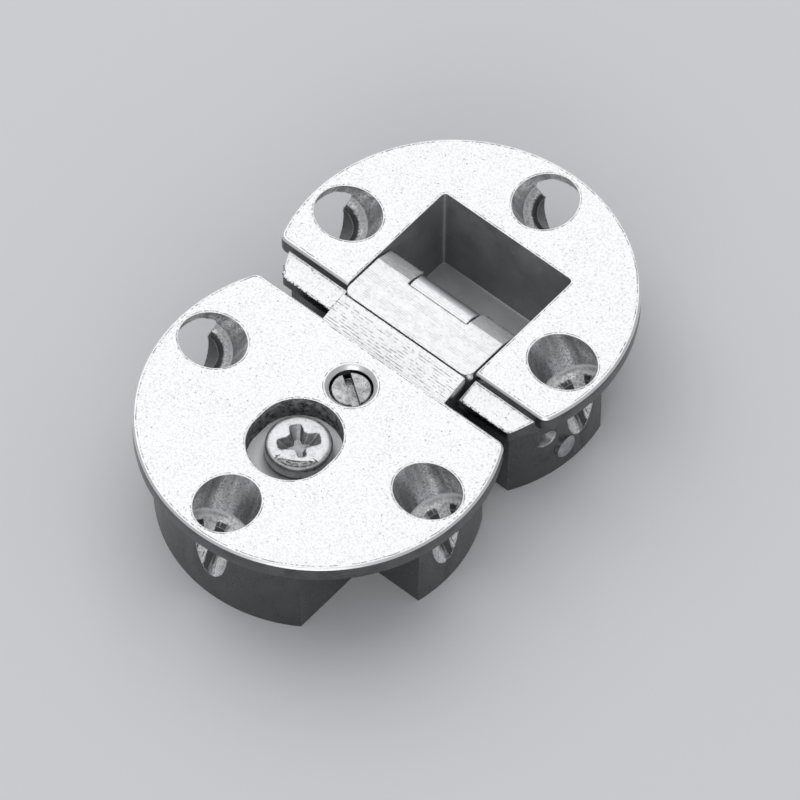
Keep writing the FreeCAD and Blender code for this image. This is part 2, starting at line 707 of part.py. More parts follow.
def build_fork_block():
    block = new_body("fork_block")
    pin_y, pin_z = KNUCKLE_PIN
    nose = pin_y + size("nose_reach")
    foot = BLOCK_FOOT
    section = new_sketch(block, "section", "YZ_Plane")
    draw_polygon(
        section,
        [
            (SEAM_Y, TOP),
            (pin_y - size("bevel_start"), TOP),
            (nose, TOP - size("bevel_drop")),
            (nose, pin_z - size("nose_reach") / 2),
            (pin_y + size("nose_reach") / 2, foot),
            (SEAM_Y, foot),
        ],
    )
    pad(block, "blank", section, BLOCK_HALF_WIDTH * 2, both_ways=True)
    soften(
        block,
        "Fillet",
        "seam_corners",
        size("block_corner"),
        lambda edge: is_upright(edge) and near(edge.Vertexes[0].Y, SEAM_Y.number),
    )

    seat = size("knuckle_radius") + size("knuckle_gap")
    width = (size("tongue_half_width") + size("fork_gap")) * 2
    section = new_sketch(block, "fork_section", "YZ_Plane")
    draw_polygon(
        section,
        [
            (pin_y - seat, foot - CLEAR),
            (nose + CLEAR, foot - CLEAR),
            (nose + CLEAR, TOP + CLEAR),
            (pin_y, TOP + CLEAR),
            (pin_y, pin_z),
            (pin_y - seat, pin_z),
        ],
    )
    pocket(block, "fork", section, width, both_ways=True)
    section = new_sketch(block, "knuckle_section", "YZ_Plane")
    draw_circle(section, pin_y, pin_z, seat)
    pocket(block, "knuckle_seat", section, width, both_ways=True)

    gap = size("spigot_gap")
    section = new_sketch(block, "socket_section", "YZ_Plane")
    end = SEAM_Y + size("spigot_length") + gap
    draw_rectangle(section, SEAM_Y - CLEAR, end, SPIGOT_FOOT - gap, SPIGOT_TOP + gap)
    pocket(block, "socket", section, (size("spigot_half_width") + gap) * 2, both_ways=True)

    for name, spot, radius in (
        ("knuckle_pin", KNUCKLE_PIN, "pin_radius"),
        ("block_pin", BLOCK_PIN, "block_pin_radius"),
    ):
        bore = new_sketch(block, f"{name}_bore", "YZ_Plane")
        draw_circle(bore, *spot, size(radius) + size("pin_seat"))
        pocket(block, f"{name}_hole", bore, both_ways=True)
    return block


# Tongue: drawn along its own y from the cup pin to the knuckle pin, then turned


def build_tongue():
    tongue = new_body("tongue")
    place(tongue, *TONGUE_PIN, direction(*TONGUE_RUN), FreeCAD.Vector(1, 0, 0))
    length = TONGUE_LENGTH
    width = size("tongue_half_width") * 2
    for name, y, radius in (
        ("eye", ZERO, size("tongue_eye_radius")),
        ("knuckle", length, size("knuckle_radius")),
    ):
        outline = new_sketch(tongue, f"{name}_outline", "YZ_Plane")
        draw_circle(outline, y, ZERO, radius)
        pad(tongue, name, outline, width, both_ways=True)
        if name == "eye":
            web = new_sketch(tongue, "web_outline", "YZ_Plane")
            draw_rectangle(web, ZERO, length, -size("tongue_rear"), size("tongue_front"))
            pad(tongue, "web", web, width, both_ways=True)
    for name, y, radius in (
        ("eye", ZERO, "tongue_pin_radius"),
        ("knuckle", length, "pin_radius"),
    ):
        bore = new_sketch(tongue, f"{name}_bore", "YZ_Plane")
        draw_circle(bore, y, ZERO, size(radius) + size("pin_run"))
        pocket(tongue, f"{name}_hole", bore, both_ways=True)
    return tongue


# Side links: a pair of plates, each with an eye on the cup pin and a slot for the arm pin


def build_side_link(label, side):
    link = new_body(label)
    place(link, *LINK_PIN, direction(LINK_RUN, LINK_RISE, half_turns=1), FreeCAD.Vector(1, 0, 0))
    inner_face = LINK_INNER if side > 0 else -LINK_OUTER
    length = size("link_length")
    thickness = size("link_thickness")
    slot_radius = size("arm_pin_radius") + size("slot_play")
    outer_radius = slot_radius + size("slot_wall")
    far_end = length - size("slot_play") + size("slot_offset") + size("pin_run")
    near_end = far_end - size("slot_travel")

    outline = new_sketch(link, "eye_outline", "YZ_Plane", height=inner_face)
    draw_circle(outline, ZERO, ZERO, size("link_eye_radius"))
    pad(link, "eye", outline, thickness)
    outline = new_sketch(link, "waist_outline", "YZ_Plane", height=inner_face)
    waist = size("link_half_height")
    draw_rectangle(outline, ZERO, near_end, -waist, waist)
    pad(link, "waist", outline, thickness)
    turned = measure(-90)
    offset = -size("slot_offset")
    outline = new_sketch(link, "slot_outline", "YZ_Plane", height=inner_face, turn=turned)
    draw_slot(outline, offset, near_end, far_end, outer_radius)
    pad(link, "slot_end", outline, thickness)

    bore = new_sketch(link, "eye_bore", "YZ_Plane")
    draw_circle(bore, ZERO, ZERO, size("pin_radius") + size("pin_run"))
    pocket(link, "eye_hole", bore, both_ways=True)
    bore = new_sketch(link, "slot_bore", "YZ_Plane", turn=turned)
    draw_slot(bore, offset, near_end, far_end, slot_radius)
    pocket(link, "slot", bore, both_ways=True)
    return link


# Pins: straight cylinders across the hinge with bevelled ends


def build_pin(label, spot, radius, half_length):
    core = doc.addObject("Part::Cylinder", f"{label}_core")
    core.setExpression("Radius", radius.formula)
    core.setExpression("Height", (half_length * 2).formula)
    core.Placement = FreeCAD.Placement(
        FreeCAD.Vector(-half_length.number, spot[0].number, spot[1].number),
        FreeCAD.Rotation(FreeCAD.Vector(0, 1, 0), 90),
    )
    core.setExpression("Placement.Base.x", (-half_length).formula)
    core.setExpression("Placement.Base.y", spot[0].formula)
    core.setExpression("Placement.Base.z", spot[1].formula)
    doc.recompute()
    pin = doc.addObject("Part::Chamfer", label)
    pin.Label = label
    pin.Base = core
    bevel = size("pin_bevel").number
    rims = [i for i, edge in enumerate(core.Shape.Edges, start=1) if edge.BoundBox.XLength < bevel]
    pin.Edges = [(i, bevel, bevel) for i in rims]
    doc.recompute()
    return pin


def round_side(back):
    """Half the width of a cup's round body, this far from the cup's centre line."""
    return root(CORE_RADIUS * CORE_RADIUS - back * back)


# Screws: each stands in its own z with the head's top at z = 0


def build_clamp_screw():
    screw = new_body("clamp_screw")
    place(screw, CLAMP_Y, TOP - size("clamp_head_top"))
    head = size("clamp_head_radius")
    shank = size("clamp_radius")
    dome = size("clamp_head_dome")
    under = size("clamp_pocket_depth") - size("clamp_head_gap") - size("clamp_head_top")
    end = TOP - size("clamp_head_top") - TAIL_FOOT - size("clamp_tip_height")
    tip = size("pin_bevel") * 2
    section = new_sketch(screw, "section", "XZ_Plane")
    draw_polygon(
        section,
        [
            (ZERO, ZERO),
            (head - dome, ZERO),
            (head, -dome),
            (head, -under),
            (shank, -under),
            (shank, tip - end),
            (shank - tip, -end),
            (ZERO, -end),
        ],
    )
    turn = add_feature(screw, "Revolution", "turned_form", section)
    turn.ReferenceAxis = (section, ["V_Axis"])
    turn.Angle = 360
    doc.recompute()
    reach = size("cross_length") / 2
    half = size("cross_width") / 2
    cross = new_sketch(screw, "cross_plan", "XY_Plane", turn=size("cross_angle"))
    draw_polygon(
        cross,
        [
            (reach, -half),
            (reach, half),
            (half, half),
            (half, reach),
            (-half, reach),
            (-half, half),
            (-reach, half),
            (-reach, -half),
            (-half, -half),
            (-half, -reach),
            (half, -reach),
            (half, -half),
        ],
    )
    pocket(screw, "cross", cross, size("cross_depth"))
    return screw


def build_height_screw():
    screw = new_body("height_screw")
    place(screw, HEIGHT_Y, TOP - size("height_top"))
    radius = size("height_radius")
    end = size("height_end") - size("height_top")
    bevel = size("pin_bevel")
    section = new_sketch(screw, "section", "XZ_Plane")
    draw_polygon(
        section,
        [
            (ZERO, ZERO),
            (radius - bevel, ZERO),
            (radius, -bevel),
            (radius, bevel - end),
            (radius - bevel, -end),
            (ZERO, -end),
        ],
    )
    turn = add_feature(screw, "Revolution", "turned_form", section)
    turn.ReferenceAxis = (section, ["V_Axis"])
    turn.Angle = 360
    doc.recompute()
    plan = new_sketch(screw, "slot_plan", "XY_Plane", turn=size("height_slot_angle"))
    half = size("height_slot_width") / 2
    draw_rectangle(plan, -(radius * 2), radius * 2, -half, half)
    pocket(screw, "slot", plan, size("height_slot_depth"))
    return screw


# Assembly

block_inset = size("pin_bevel")
sub_parts = [
    build_link_cup(),
    build_arm_cup(),
    build_arm(),
    build_fork_block(),
    build_tongue(),
    build_side_link("side_link_left", -1),
    build_side_link("side_link_right", 1),
    build_pin(
        "tongue_pin",
        TONGUE_PIN,
        size("tongue_pin_radius"),
        round_side(size("tongue_pin_back")) + size("tongue_pin_proud"),
    ),
    build_pin(
        "link_pin",
        LINK_PIN,
        size("pin_radius"),
        round_side(size("link_pin_back")) - size("link_pin_recess"),
    ),
    build_pin("knuckle_pin", KNUCKLE_PIN, size("pin_radius"), BLOCK_HALF_WIDTH - block_inset),
    build_pin("arm_pin", ARM_PIN, size("arm_pin_radius"), size("arm_half_width") - block_inset),
    build_pin("block_pin", BLOCK_PIN, size("block_pin_radius"), BLOCK_HALF_WIDTH - block_inset),
    build_clamp_screw(),
    build_height_screw(),
]
doc.recompute()

# Checks, then one file for each piece

for item in doc.Objects:
    if {"Invalid", "Error"} & set(item.State):
        raise ValueError(f"{item.Name} failed: {item.State}")
for item in sub_parts:
    if item.Shape.isNull() or not item.Shape.isValid() or not item.Shape.Solids:
        raise ValueError(f"{item.Label} has no valid solid")

os.makedirs("parts", exist_ok=True)
for item in sub_parts:
    item.Shape.exportStep(f"parts/{item.Label}.step")
    print(item.Label, len(item.Shape.Solids), round(item.Shape.Volume, 1))
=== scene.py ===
import math

import bmesh
import bpy
from mathutils import Matrix, Vector


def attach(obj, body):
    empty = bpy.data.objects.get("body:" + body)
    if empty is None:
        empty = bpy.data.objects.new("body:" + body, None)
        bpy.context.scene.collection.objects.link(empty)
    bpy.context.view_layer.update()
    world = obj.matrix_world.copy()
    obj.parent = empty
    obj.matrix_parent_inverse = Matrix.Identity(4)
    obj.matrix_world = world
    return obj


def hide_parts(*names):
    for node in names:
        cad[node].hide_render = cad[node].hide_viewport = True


# Dressed view of the flush flap hinge: plated castings, filed arm, screws, soft studio.

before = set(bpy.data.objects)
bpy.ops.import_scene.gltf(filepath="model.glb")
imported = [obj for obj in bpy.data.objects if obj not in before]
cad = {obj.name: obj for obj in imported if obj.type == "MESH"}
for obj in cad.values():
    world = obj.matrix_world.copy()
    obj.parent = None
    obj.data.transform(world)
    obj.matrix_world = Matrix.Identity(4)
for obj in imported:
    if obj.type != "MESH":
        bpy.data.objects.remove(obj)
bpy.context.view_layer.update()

MM = 0.001

# Sizes that the finish follows, in millimetres, as in the part's source. Those of holes, well, ledge and
# pocket are measured from the middle of their cup's round, and down from its flush face.

TOP = 12.2
LINK_CUP_Y = 9.75
ARM_CUP_Y = -9.75
HOLE_REACH = 13.2
HOLE_TILT = math.radians(27.0)
HEAD_BORE = 3.05
SEAT_START = 3.1
SEAT_END = 4.0
SHANK_BORE = 1.95
FLANGE_UNDERSIDE = 1.7
WELL_HALF = 7.9
WELL_BACK = 7.8
WELL_CORNER = 0.45
WELL_DEPTH = 11.0
LEDGE_OUTER = 8.75
LEDGE_FOOT = 1.75
LINK_PIN_BACK = 4.3
LINK_PIN_DEPTH = 6.25
LINK_PIN_RADIUS = 1.0
POCKET_RADIUS = 4.2
POCKET_START = 3.0
POCKET_END = 4.2
POCKET_DEPTH = 2.7
CLAMP_Y = ARM_CUP_Y - 3.0
CLAMP_TOP = TOP - 1.0
CLAMP_HEAD = 3.2
CROSS_TURN = math.radians(-38.0)
HEIGHT_Y = ARM_CUP_Y + 4.5
HEIGHT_TOP = TOP - 0.45
SLOT_TURN = math.radians(-35.0)
SLOT_HALF = 0.4
SLOT_DEPTH = 0.9

# Sizes of the finish itself, in millimetres

MERGE_GAP = 0.002
EASE = 0.05
TONGUE_EASE = 0.08
SCREW_EASE = 0.04
RIM_RING = 0.3
SEAT_BAND_END = 3.6
RIM_SINK = 0.045
POCKET_SINK = 0.06
MOUTH_SINK = 0.02
CROSS_DEPTH = 1.25
SCAR_REACH = 2.5
SCAR_RADIUS = 0.45

# Angles of the finish, in degrees

CREASE = 24
BLOCK_CREASE = 14
SCAR_START = -100
SCAR_END = -14

# Radians taken off the angle map of a screw hole on the far side from the camera, which moves it clear of the
# painted highlight bands and leaves its walls in painted shade
SHADED_HOLE_TURN = 8.0

# How far a corner or face may lie from the place it is told by, and how far below a rim walls start
SLACK = 0.05
WALL_START = 0.06

# A screw hole, along its slanted axis: how far its high side rises over the middle of its mouth, its
# longest run, and how far a corner may lie from its wall
BORE_RISE = 2.2
BORE_RUN = 14.0
BORE_SLACK = 0.12

# Where the mottling noise mostly lies
MOTTLE = (0.3, 0.7)

SURFACE_MAP = "surface_map"


# Mesh helpers


def new_piece(name, mesh):
    piece = bpy.data.objects.new(name, mesh)
    bpy.context.scene.collection.objects.link(piece)
    return piece


def to_mesh(bm, name):
    mesh = bpy.data.meshes.new(name)
    bm.to_mesh(mesh)
    bm.free()
    return mesh


def merged_mesh(mesh):
    """A copy of a mesh with its doubles merged and its flat faces made whole."""
    bm = bmesh.new()
    bm.from_mesh(mesh)
    bmesh.ops.remove_doubles(bm, verts=bm.verts, dist=MERGE_GAP * MM)
    bmesh.ops.dissolve_limit(
        bm, angle_limit=math.radians(0.5), verts=bm.verts, edges=bm.edges, use_dissolve_boundaries=False
    )
    return bm


def ease_edges(bm, width, least_angle=28):
    """A small bevel on every edge that turns by more than the least angle, in degrees."""
    least = math.radians(least_angle)
    edges = [edge for edge in bm.edges if len(edge.link_faces) == 2 and edge.calc_face_angle(0.0) > least]
    bmesh.ops.bevel(
        bm, geom=edges, offset=width * MM, offset_type="OFFSET", segments=2, profile=0.5,
        affect="EDGES", clamp_overlap=True,
    )


def split_large_faces(bm):
    """Triangles in place of every face with more than four corners."""
    bmesh.ops.triangulate(bm, faces=[face for face in bm.faces if len(face.verts) > 4])


def take_place(piece, node, body, materials, crease=CREASE):
    """Gives a finished piece its materials and smooth shading, and the place of its CAD node."""
    mesh = piece.data
    for material in materials:
        mesh.materials.append(material)
    for face in mesh.polygons:
        face.use_smooth = True
    mesh.set_sharp_from_angle(angle=math.radians(crease))
    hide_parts(node)
    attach(piece, body)


def turned(profile, centre, top, steps=96):
    """A closed form turned about an upright axis, from (radius, depth) pairs, top first."""
    bm = bmesh.new()
    rings = []
    for radius, depth in profile:
        ring = []
        for i in range(steps if radius else 1):
            angle = 2 * math.pi * i / steps
            spot = (centre[0] + radius * math.cos(angle), centre[1] + radius * math.sin(angle), top - depth)
            ring.append(bm.verts.new(Vector(spot) * MM))
        rings.append(ring)
    for upper, lower in zip(rings, rings[1:]):
        for i in range(steps):
            j = (i + 1) % steps
            corners = [ring[k % len(ring)] for ring, k in ((upper, i), (lower, i), (lower, j), (upper, j))]
            bm.faces.new(list(dict.fromkeys(corners)))
    bmesh.ops.recalc_face_normals(bm, faces=bm.faces)
    return bm


def close_rings(bm, rings):
    """Joins rings of corners into one closed form, with a cap at either end."""
    bm.faces.new(rings[0])
    bm.faces.new(rings[-1])
    for near, far in zip(rings, rings[1:]):
        for i in range(len(near)):
            j = (i + 1) % len(near)
            bm.faces.new([near[i], near[j], far[j], far[i]])
    bmesh.ops.recalc_face_normals(bm, faces=bm.faces)
    return bm


def tapered_prism(outline, centre, levels):
    """A closed prism over an outline. Each level is a height and the outline's scale there."""
    bm = bmesh.new()
    rings = []
    for height, scale in levels:
        spots = [Vector((centre[0] + x * scale, centre[1] + y * scale, height)) for x, y in outline]
        rings.append([bm.verts.new(spot * MM) for spot in spots])
    return close_rings(bm, rings)


def bent_rod(centre, height, reach, radius, start, end, steps=30, sides=10):
    """A closed round rod, thin at its ends, bent about an upright axis between two angles in degrees."""
    bm = bmesh.new()
    rings = []
    for i in range(steps + 1):
        share = i / steps
        angle = math.radians(start + (end - start) * share)
        out = Vector((math.cos(angle), math.sin(angle), 0))
        thickness = radius * (0.35 + 0.65 * math.sin(math.pi * share) ** 0.6)
        middle = Vector((centre[0], centre[1], height)) + out * reach
        ring = []
        for k in range(sides):
            turn = 2 * math.pi * k / sides
            spot = middle + out * thickness * math.cos(turn) + Vector((0, 0, thickness * math.sin(turn)))
            ring.append(bm.verts.new(spot * MM))
        rings.append(ring)
    return close_rings(bm, rings)


def cut(piece, cutter_bm, name):
    """Cuts a closed shape out of a piece and drops the shape."""
    cutter = new_piece(f"{name}_cutter", to_mesh(cutter_bm, f"{name}_cutter"))
    modifier = piece.modifiers.new(name, "BOOLEAN")
    modifier.object = cutter
    modifier.solver = "EXACT"
    depsgraph = bpy.context.evaluated_depsgraph_get()
    result = bpy.data.meshes.new_from_object(piece.evaluated_get(depsgraph))
    piece.modifiers.remove(modifier)
    uncut, shape = piece.data, cutter.data
    piece.data = result
    bpy.data.objects.remove(cutter)
    bpy.data.meshes.remove(uncut)
    bpy.data.meshes.remove(shape)


def slopes(edge):
    """How far up the two faces at an edge look, the steeper face first: 0 for a wall, 1 for a flat."""
    return sorted(face.normal.z for face in edge.link_faces)


def along_edges(bm, name, wanted, sink=0.0):
    """A mesh of only the edges that are wanted, sunk a little, as a path for beads."""
    path = bmesh.new()
    copies = {}
    for edge in bm.edges:
        if len(edge.link_faces) != 2 or not wanted(edge):
            continue
        for vert in edge.verts:
            if vert not in copies:
                copies[vert] = path.verts.new(vert.co - Vector((0, 0, sink * MM)))
        path.edges.new([copies[vert] for vert in edge.verts])
    return to_mesh(path, name)


# Node helpers


def put(tree, kind, inputs=None, **settings):
    """A node with its settings, and each input set to a value or joined to a socket."""
    node = tree.nodes.new(kind)
    for name, value in settings.items():
        setattr(node, name, value)
    for name, value in (inputs or {}).items():
        socket = node.inputs[name]
        if isinstance(value, bpy.types.NodeSocket):
            tree.links.new(value, socket)
        else:
            socket.default_value = value
    return node


def new_tree(tree_kind, name, inputs, outputs):
    """A tree and its sockets at both ends. Each named input has its usual number, or else its kind."""
    tree = bpy.data.node_groups.new(name, tree_kind)
    for label, usual in inputs.items():
        kind = usual if isinstance(usual, str) else type(usual).__name__.title()
        socket = tree.interface.new_socket(label, in_out="INPUT", socket_type=f"NodeSocket{kind}")
        if kind != usual:
            socket.default_value = usual
    for label, kind in outputs.items():
        tree.interface.new_socket(label, in_out="OUTPUT", socket_type=f"NodeSocket{kind}")
    return tree, tree.nodes.new("NodeGroupInput").outputs, tree.nodes.new("NodeGroupOutput").inputs


def hand_out(result, **values):
    """Joins each value to the tree's output of that name."""
    for name, value in values.items():
        value.id_data.links.new(value, result[name.replace("_", " ")])


def calculate(operation, *values):
    """Works through sockets and numbers from the first on, two at a time."""
    tree = next(value.id_data for value in values if isinstance(value, bpy.types.NodeSocket))
    total = values[0]
    for value in values[1:]:
        total = put(tree, "ShaderNodeMath", {0: total, 1: value}, operation=operation).outputs[0]
    return total


def times(*values):
    return calculate("MULTIPLY", *values)


def plus(*values):
    return calculate("ADD", *values)


def minus(value, less):
    return calculate("SUBTRACT", value, less)


def most(*values):
    return calculate("MAXIMUM", *values)


def span(value, low, high, out_low=0.0, out_high=1.0):
    """Maps low..high to the out range, smoothly and clamped."""
    limits = {"From Min": low, "From Max": high, "To Min": out_low, "To Max": out_high}
    node = put(value.id_data, "ShaderNodeMapRange", {"Value": value, **limits})
    node.interpolation_type = "SMOOTHSTEP"
    return node.outputs["Result"]


def band(value, start, full, last, end):
    """1 between full and last, fading to 0 at start and end."""
    return times(span(value, start, full), span(value, end, last))


def noise_at(vector, scale, detail=3.0, roughness=0.5, distortion=0.0):
    settings = {"Scale": scale, "Detail": detail, "Roughness": roughness, "Distortion": distortion}
    return put(vector.id_data, "ShaderNodeTexNoise", {"Vector": vector, **settings}).outputs["Fac"]


def sway(value, noise, amount):
    """Moves a value to and fro with a noise that lies around a half."""
    return plus(value, times(minus(noise, 0.5), amount))


def split(vector):
    return put(vector.id_data, "ShaderNodeSeparateXYZ", {"Vector": vector}).outputs


def stretched(vector, scale):
    return put(vector.id_data, "ShaderNodeMapping", {"Vector": vector, "Scale": scale}).outputs["Vector"]


# Geometry trees


def new_geometry_tree(name, inputs):
    ends = {"Geometry": "Geometry"}
    return new_tree("GeometryNodeTree", name, {**ends, **inputs, "Metal": "Material"}, ends)


def finish_tree(tree, result, instances, metal):
    """The last steps of every tree: real mesh, smooth faces, material."""
    real = put(tree, "GeometryNodeRealizeInstances", {"Geometry": instances}).outputs["Geometry"]
    smooth = put(tree, "GeometryNodeSetShadeSmooth", {"Geometry": real}).outputs["Geometry"]
    coated = put(tree, "GeometryNodeSetMaterial", {"Geometry": smooth, "Material": metal}).outputs["Geometry"]
    hand_out(result, Geometry=coated)


def build_burr_beads():
    """Small ragged beads of metal along an edge."""
    sizes = {"Spacing": 0.12 * MM, "Least Size": 0.02 * MM, "Most Size": 0.06 * MM, "Stray": 0.03 * MM}
    tree, given, result = new_geometry_tree("burr_beads", {**sizes, "Share": 0.7, "Seed": 1})

    def draw(low, high):
        """A random vector between two limits."""
        limits = {0: low, 1: high, "Seed": given["Seed"]}
        return put(tree, "FunctionNodeRandomValue", limits, data_type="FLOAT_VECTOR").outputs[0]

    path = put(tree, "GeometryNodeMeshToCurve", {"Mesh": given["Geometry"]}).outputs["Curve"]
    dots = put(
        tree, "GeometryNodeResampleCurve", {"Curve": path, "Length": given["Spacing"]}, mode="LENGTH"
    ).outputs["Curve"]
    aside = draw((-1, -1, -1), (1, 1, 1))
    offset = put(tree, "ShaderNodeVectorMath", {0: aside, "Scale": given["Stray"]}, operation="SCALE")
    strewn = put(tree, "GeometryNodeSetPosition", {"Geometry": dots, "Offset": offset.outputs[0]})
    chance = {"Probability": given["Share"], "Seed": given["Seed"]}
    kept = put(tree, "FunctionNodeRandomValue", chance, data_type="BOOLEAN").outputs[3]
    size = draw(given["Least Size"], given["Most Size"])
    turn = draw((0, 0, 0), (3, 3, 3))
    bead = put(tree, "GeometryNodeMeshIcoSphere", {"Radius": 1.0, "Subdivisions": 1}).outputs["Mesh"]
    placing = {"Points": strewn.outputs["Geometry"], "Selection": kept, "Rotation": turn, "Scale": size}
    beads = put(tree, "GeometryNodeInstanceOnPoints", {"Instance": bead, **placing}).outputs["Instances"]
    finish_tree(tree, result, beads, given["Metal"])
    return tree


def build_screw_thread():
    """A pointed thread that winds down a shank and runs out at both ends."""
    tree, given, result = new_geometry_tree(
        "screw_thread", {"Turns": 6.0, "Length": 4.0 * MM, "Reach": 1.7 * MM, "Tooth": 0.26 * MM}
    )
    radii = {"Start Radius": given["Reach"], "End Radius": given["Reach"]}
    course = {"Resolution": 40, "Rotations": given["Turns"], "Height": given["Length"], **radii}
    winding = put(tree, "GeometryNodeCurveSpiral", course).outputs["Curve"]
    upright = put(tree, "GeometryNodeSetCurveNormal", {"Curve": winding}, mode="Z_UP").outputs["Curve"]
    tooth = put(tree, "GeometryNodeCurvePrimitiveCircle", {"Resolution": 4, "Radius": given["Tooth"]})
    share = tree.nodes.new("GeometryNodeSplineParameter").outputs["Factor"]
    ends = times(share, minus(1.0, share), 60.0)
    runout = calculate("MINIMUM", plus(ends, 0.25), 1.0)
    drawn = {"Curve": upright, "Profile Curve": tooth.outputs["Curve"], "Scale": runout, "Fill Caps": True}
    thread = put(tree, "GeometryNodeCurveToMesh", drawn).outputs["Mesh"]
    at_shank = put(tree, "GeometryNodeMeshToPoints", {"Mesh": given["Geometry"], "Radius": MM})
    placing = {"Points": at_shank.outputs["Points"], "Instance": thread}
    placed = put(tree, "GeometryNodeInstanceOnPoints", placing).outputs["Instances"]
    finish_tree(tree, result, placed, given["Metal"])
    return tree


def run_tree(tree, mesh, settings):
    """Runs a tree on a mesh of points or edges and gives the plain mesh that it makes."""
    holder = new_piece(tree.name, mesh)
    modifier = holder.modifiers.new(tree.name, "NODES")
    modifier.node_group = tree
    sockets = {item.name: item.identifier for item in tree.interface.items_tree if item.in_out == "INPUT"}
    for label, value in settings.items():
        modifier[sockets[label]] = value
    depsgraph = bpy.context.evaluated_depsgraph_get()
    plain = bpy.data.meshes.new_from_object(holder.evaluated_get(depsgraph))
    holder.modifiers.remove(modifier)
    bpy.data.objects.remove(holder)
    bpy.data.meshes.remove(mesh)
    return plain


BURR_BEADS = build_burr_beads()
SCREW_THREAD = build_screw_thread()


# Shader groups


def new_group(name, inputs, marks):
    """A shader group that reads a place on the surface and gives its marks there."""
    kinds = {mark: "Vector" if mark == "Rounded" else "Float" for mark in marks}
    return new_tree("ShaderNodeTree", name, {"Place": "Vector", **inputs}, kinds)


def build_casting_grain():
    """Fine skin of a plated die casting: soft mottling, pale specks and dark pits."""
    sizes = {"Mottle Scale": 900.0, "Speck Scale": 3400.0, "Pit Bar": 0.70}
    tree, given, result = new_group("casting_grain", sizes, ("Mottle", "Specks", "Pits", "Height"))
    mottle = noise_at(given["Place"], given["Mottle Scale"], 5.0, 0.62)
    fine = noise_at(given["Place"], given["Speck Scale"], 2.0, 0.7)
    patches = noise_at(given["Place"], 380.0, 2.0, 0.5)
    leaning = sway(fine, patches, 0.14)
    specks = span(leaning, 0.55, 0.66)
    pits = span(minus(leaning, given["Pit Bar"]), 0.0, 0.03)
    sunk = plus(times(specks, 0.25), times(pits, 0.5))
    height = minus(times(mottle, 0.5), sunk)
    hand_out(result, Mottle=mottle, Specks=specks, Pits=pits, Height=height)
    return tree


def build_machined_lines():
    """Rows of broken tool marks that run along x on the faces that look up."""
    sizes = {"Facing": "Vector", "Pitch": 0.33 * MM, "Wander": 0.12 * MM, "Dashes": 0.5}
    tree, given, result = new_group("machined_lines", sizes, ("Lines", "Height"))
    drift = noise_at(given["Place"], 160.0, 2.0, 0.5)
    across = sway(split(given["Place"])["Y"], drift, given["Wander"])
    phase = times(calculate("DIVIDE", across, given["Pitch"]), 2 * math.pi)
    swing = put(tree, "ShaderNodeMath", {0: phase}, operation="SINE").outputs[0]
    wave = times(plus(swing, 1.0), 0.5)
    dash = noise_at(stretched(given["Place"], (0.45, 1.0, 0.6)), 3600.0, 2.0, 0.6)
    strong = noise_at(stretched(given["Place"], (0.03, 1.0, 0.3)), 1100.0, 2.0, 0.5)
    lean = times(minus(given["Dashes"], 0.5), 0.3)
    bar = plus(times(dash, 0.6), times(strong, 0.4), lean)
    broken = span(bar, 0.46, 0.58)
    up = span(split(given["Facing"])["Z"], 0.5, 0.8)
    lines = times(span(wave, 0.62, 1.0), broken, up)
    hand_out(result, Lines=lines, Height=minus(1.0, lines))
    return tree


def build_edge_shine():
    """1 on a corner and 0 on a flat, from the difference that rounding the corner makes."""
    marks = ("Edge", "Ragged Edge", "Rounded")
    tree, given, result = new_group("edge_shine", {"Reach": 0.12 * MM}, marks)
    rounded = put(tree, "ShaderNodeBevel", {"Radius": given["Reach"]}, samples=4).outputs["Normal"]
    plain = tree.nodes.new("ShaderNodeNewGeometry").outputs["Normal"]
    likeness = put(tree, "ShaderNodeVectorMath", {0: rounded, 1: plain}, operation="DOT_PRODUCT")
    edge = span(likeness.outputs["Value"], 0.9995, 0.985)
    crumbs = span(noise_at(given["Place"], 4600.0, 3.0, 0.7), 0.5, 0.58)
    hand_out(result, Edge=edge, Ragged_Edge=times(edge, crumbs), Rounded=rounded)
    return tree


def build_bore_marks():
    """Bands, rings, painted highlight bands and the bright seat of a screw hole, from a map of angle in
    radians and depth in mm.
    """
    marks = ("Bands", "Burnish", "Grit", "Rings", "Seat", "Seat Rim", "Under Rim", "Shank", "Height")
    seat = {"Seat Start": SEAT_START, "Seat End": SEAT_BAND_END}
    tree, given, result = new_group("bore_marks", {"Bore Map": "Vector", **seat}, marks)
    turn, depth = split(given["Bore Map"])[:2]
    around = stretched(given["Bore Map"], (1.0, 0.05, 1.0))
    bands = span(noise_at(around, 1.5, 2.0, 0.5), 0.36, 0.64)
    grit = span(noise_at(given["Place"], 4200.0, 3.0, 0.75), 0.47, 0.6)
    # Painted highlight: bright streaks at set angles around the hole, where light would catch its wall
    swayed = sway(turn, noise_at(around, 6.0, 2.0, 0.6), 0.9)
    streak = band(swayed, -1.2, -1.05, -0.65, -0.5)
    side = times(span(swayed, -1.45, -1.6), span(turn, -4.2, -4.0, 0.0, 0.6))
    highlight = most(streak, side, span(swayed, -0.2, 0.15))
    rings = noise_at(stretched(given["Bore Map"], (0.35, 1.0, 1.0)), 7.0, 3.0, 0.6, 0.2)
    ragged = sway(depth, noise_at(given["Place"], 3600.0, 3.0, 0.65), 0.5)
    seat = times(
        span(minus(ragged, given["Seat Start"]), -0.12, 0.02),
        span(minus(ragged, given["Seat End"]), 0.06, -0.06),
    )
    past = minus(depth, given["Seat Start"])
    rim = band(past, -0.3, -0.16, 0.0, 0.08)
    under = times(band(past, 0.0, 0.08, 0.16, 0.34), bands)
    shank = span(minus(depth, given["Seat End"]), -0.05, 0.1)
    height = plus(times(rings, 0.4), times(grit, 0.6))
    hand_out(result, Bands=bands, Burnish=highlight, Grit=grit, Rings=rings, Height=height)
    hand_out(result, Seat=seat, Seat_Rim=rim, Under_Rim=under, Shank=shank)
    return tree


CASTING_GRAIN = build_casting_grain()
MACHINED_LINES = build_machined_lines()
EDGE_SHINE = build_edge_shine()
BORE_MARKS = build_bore_marks()
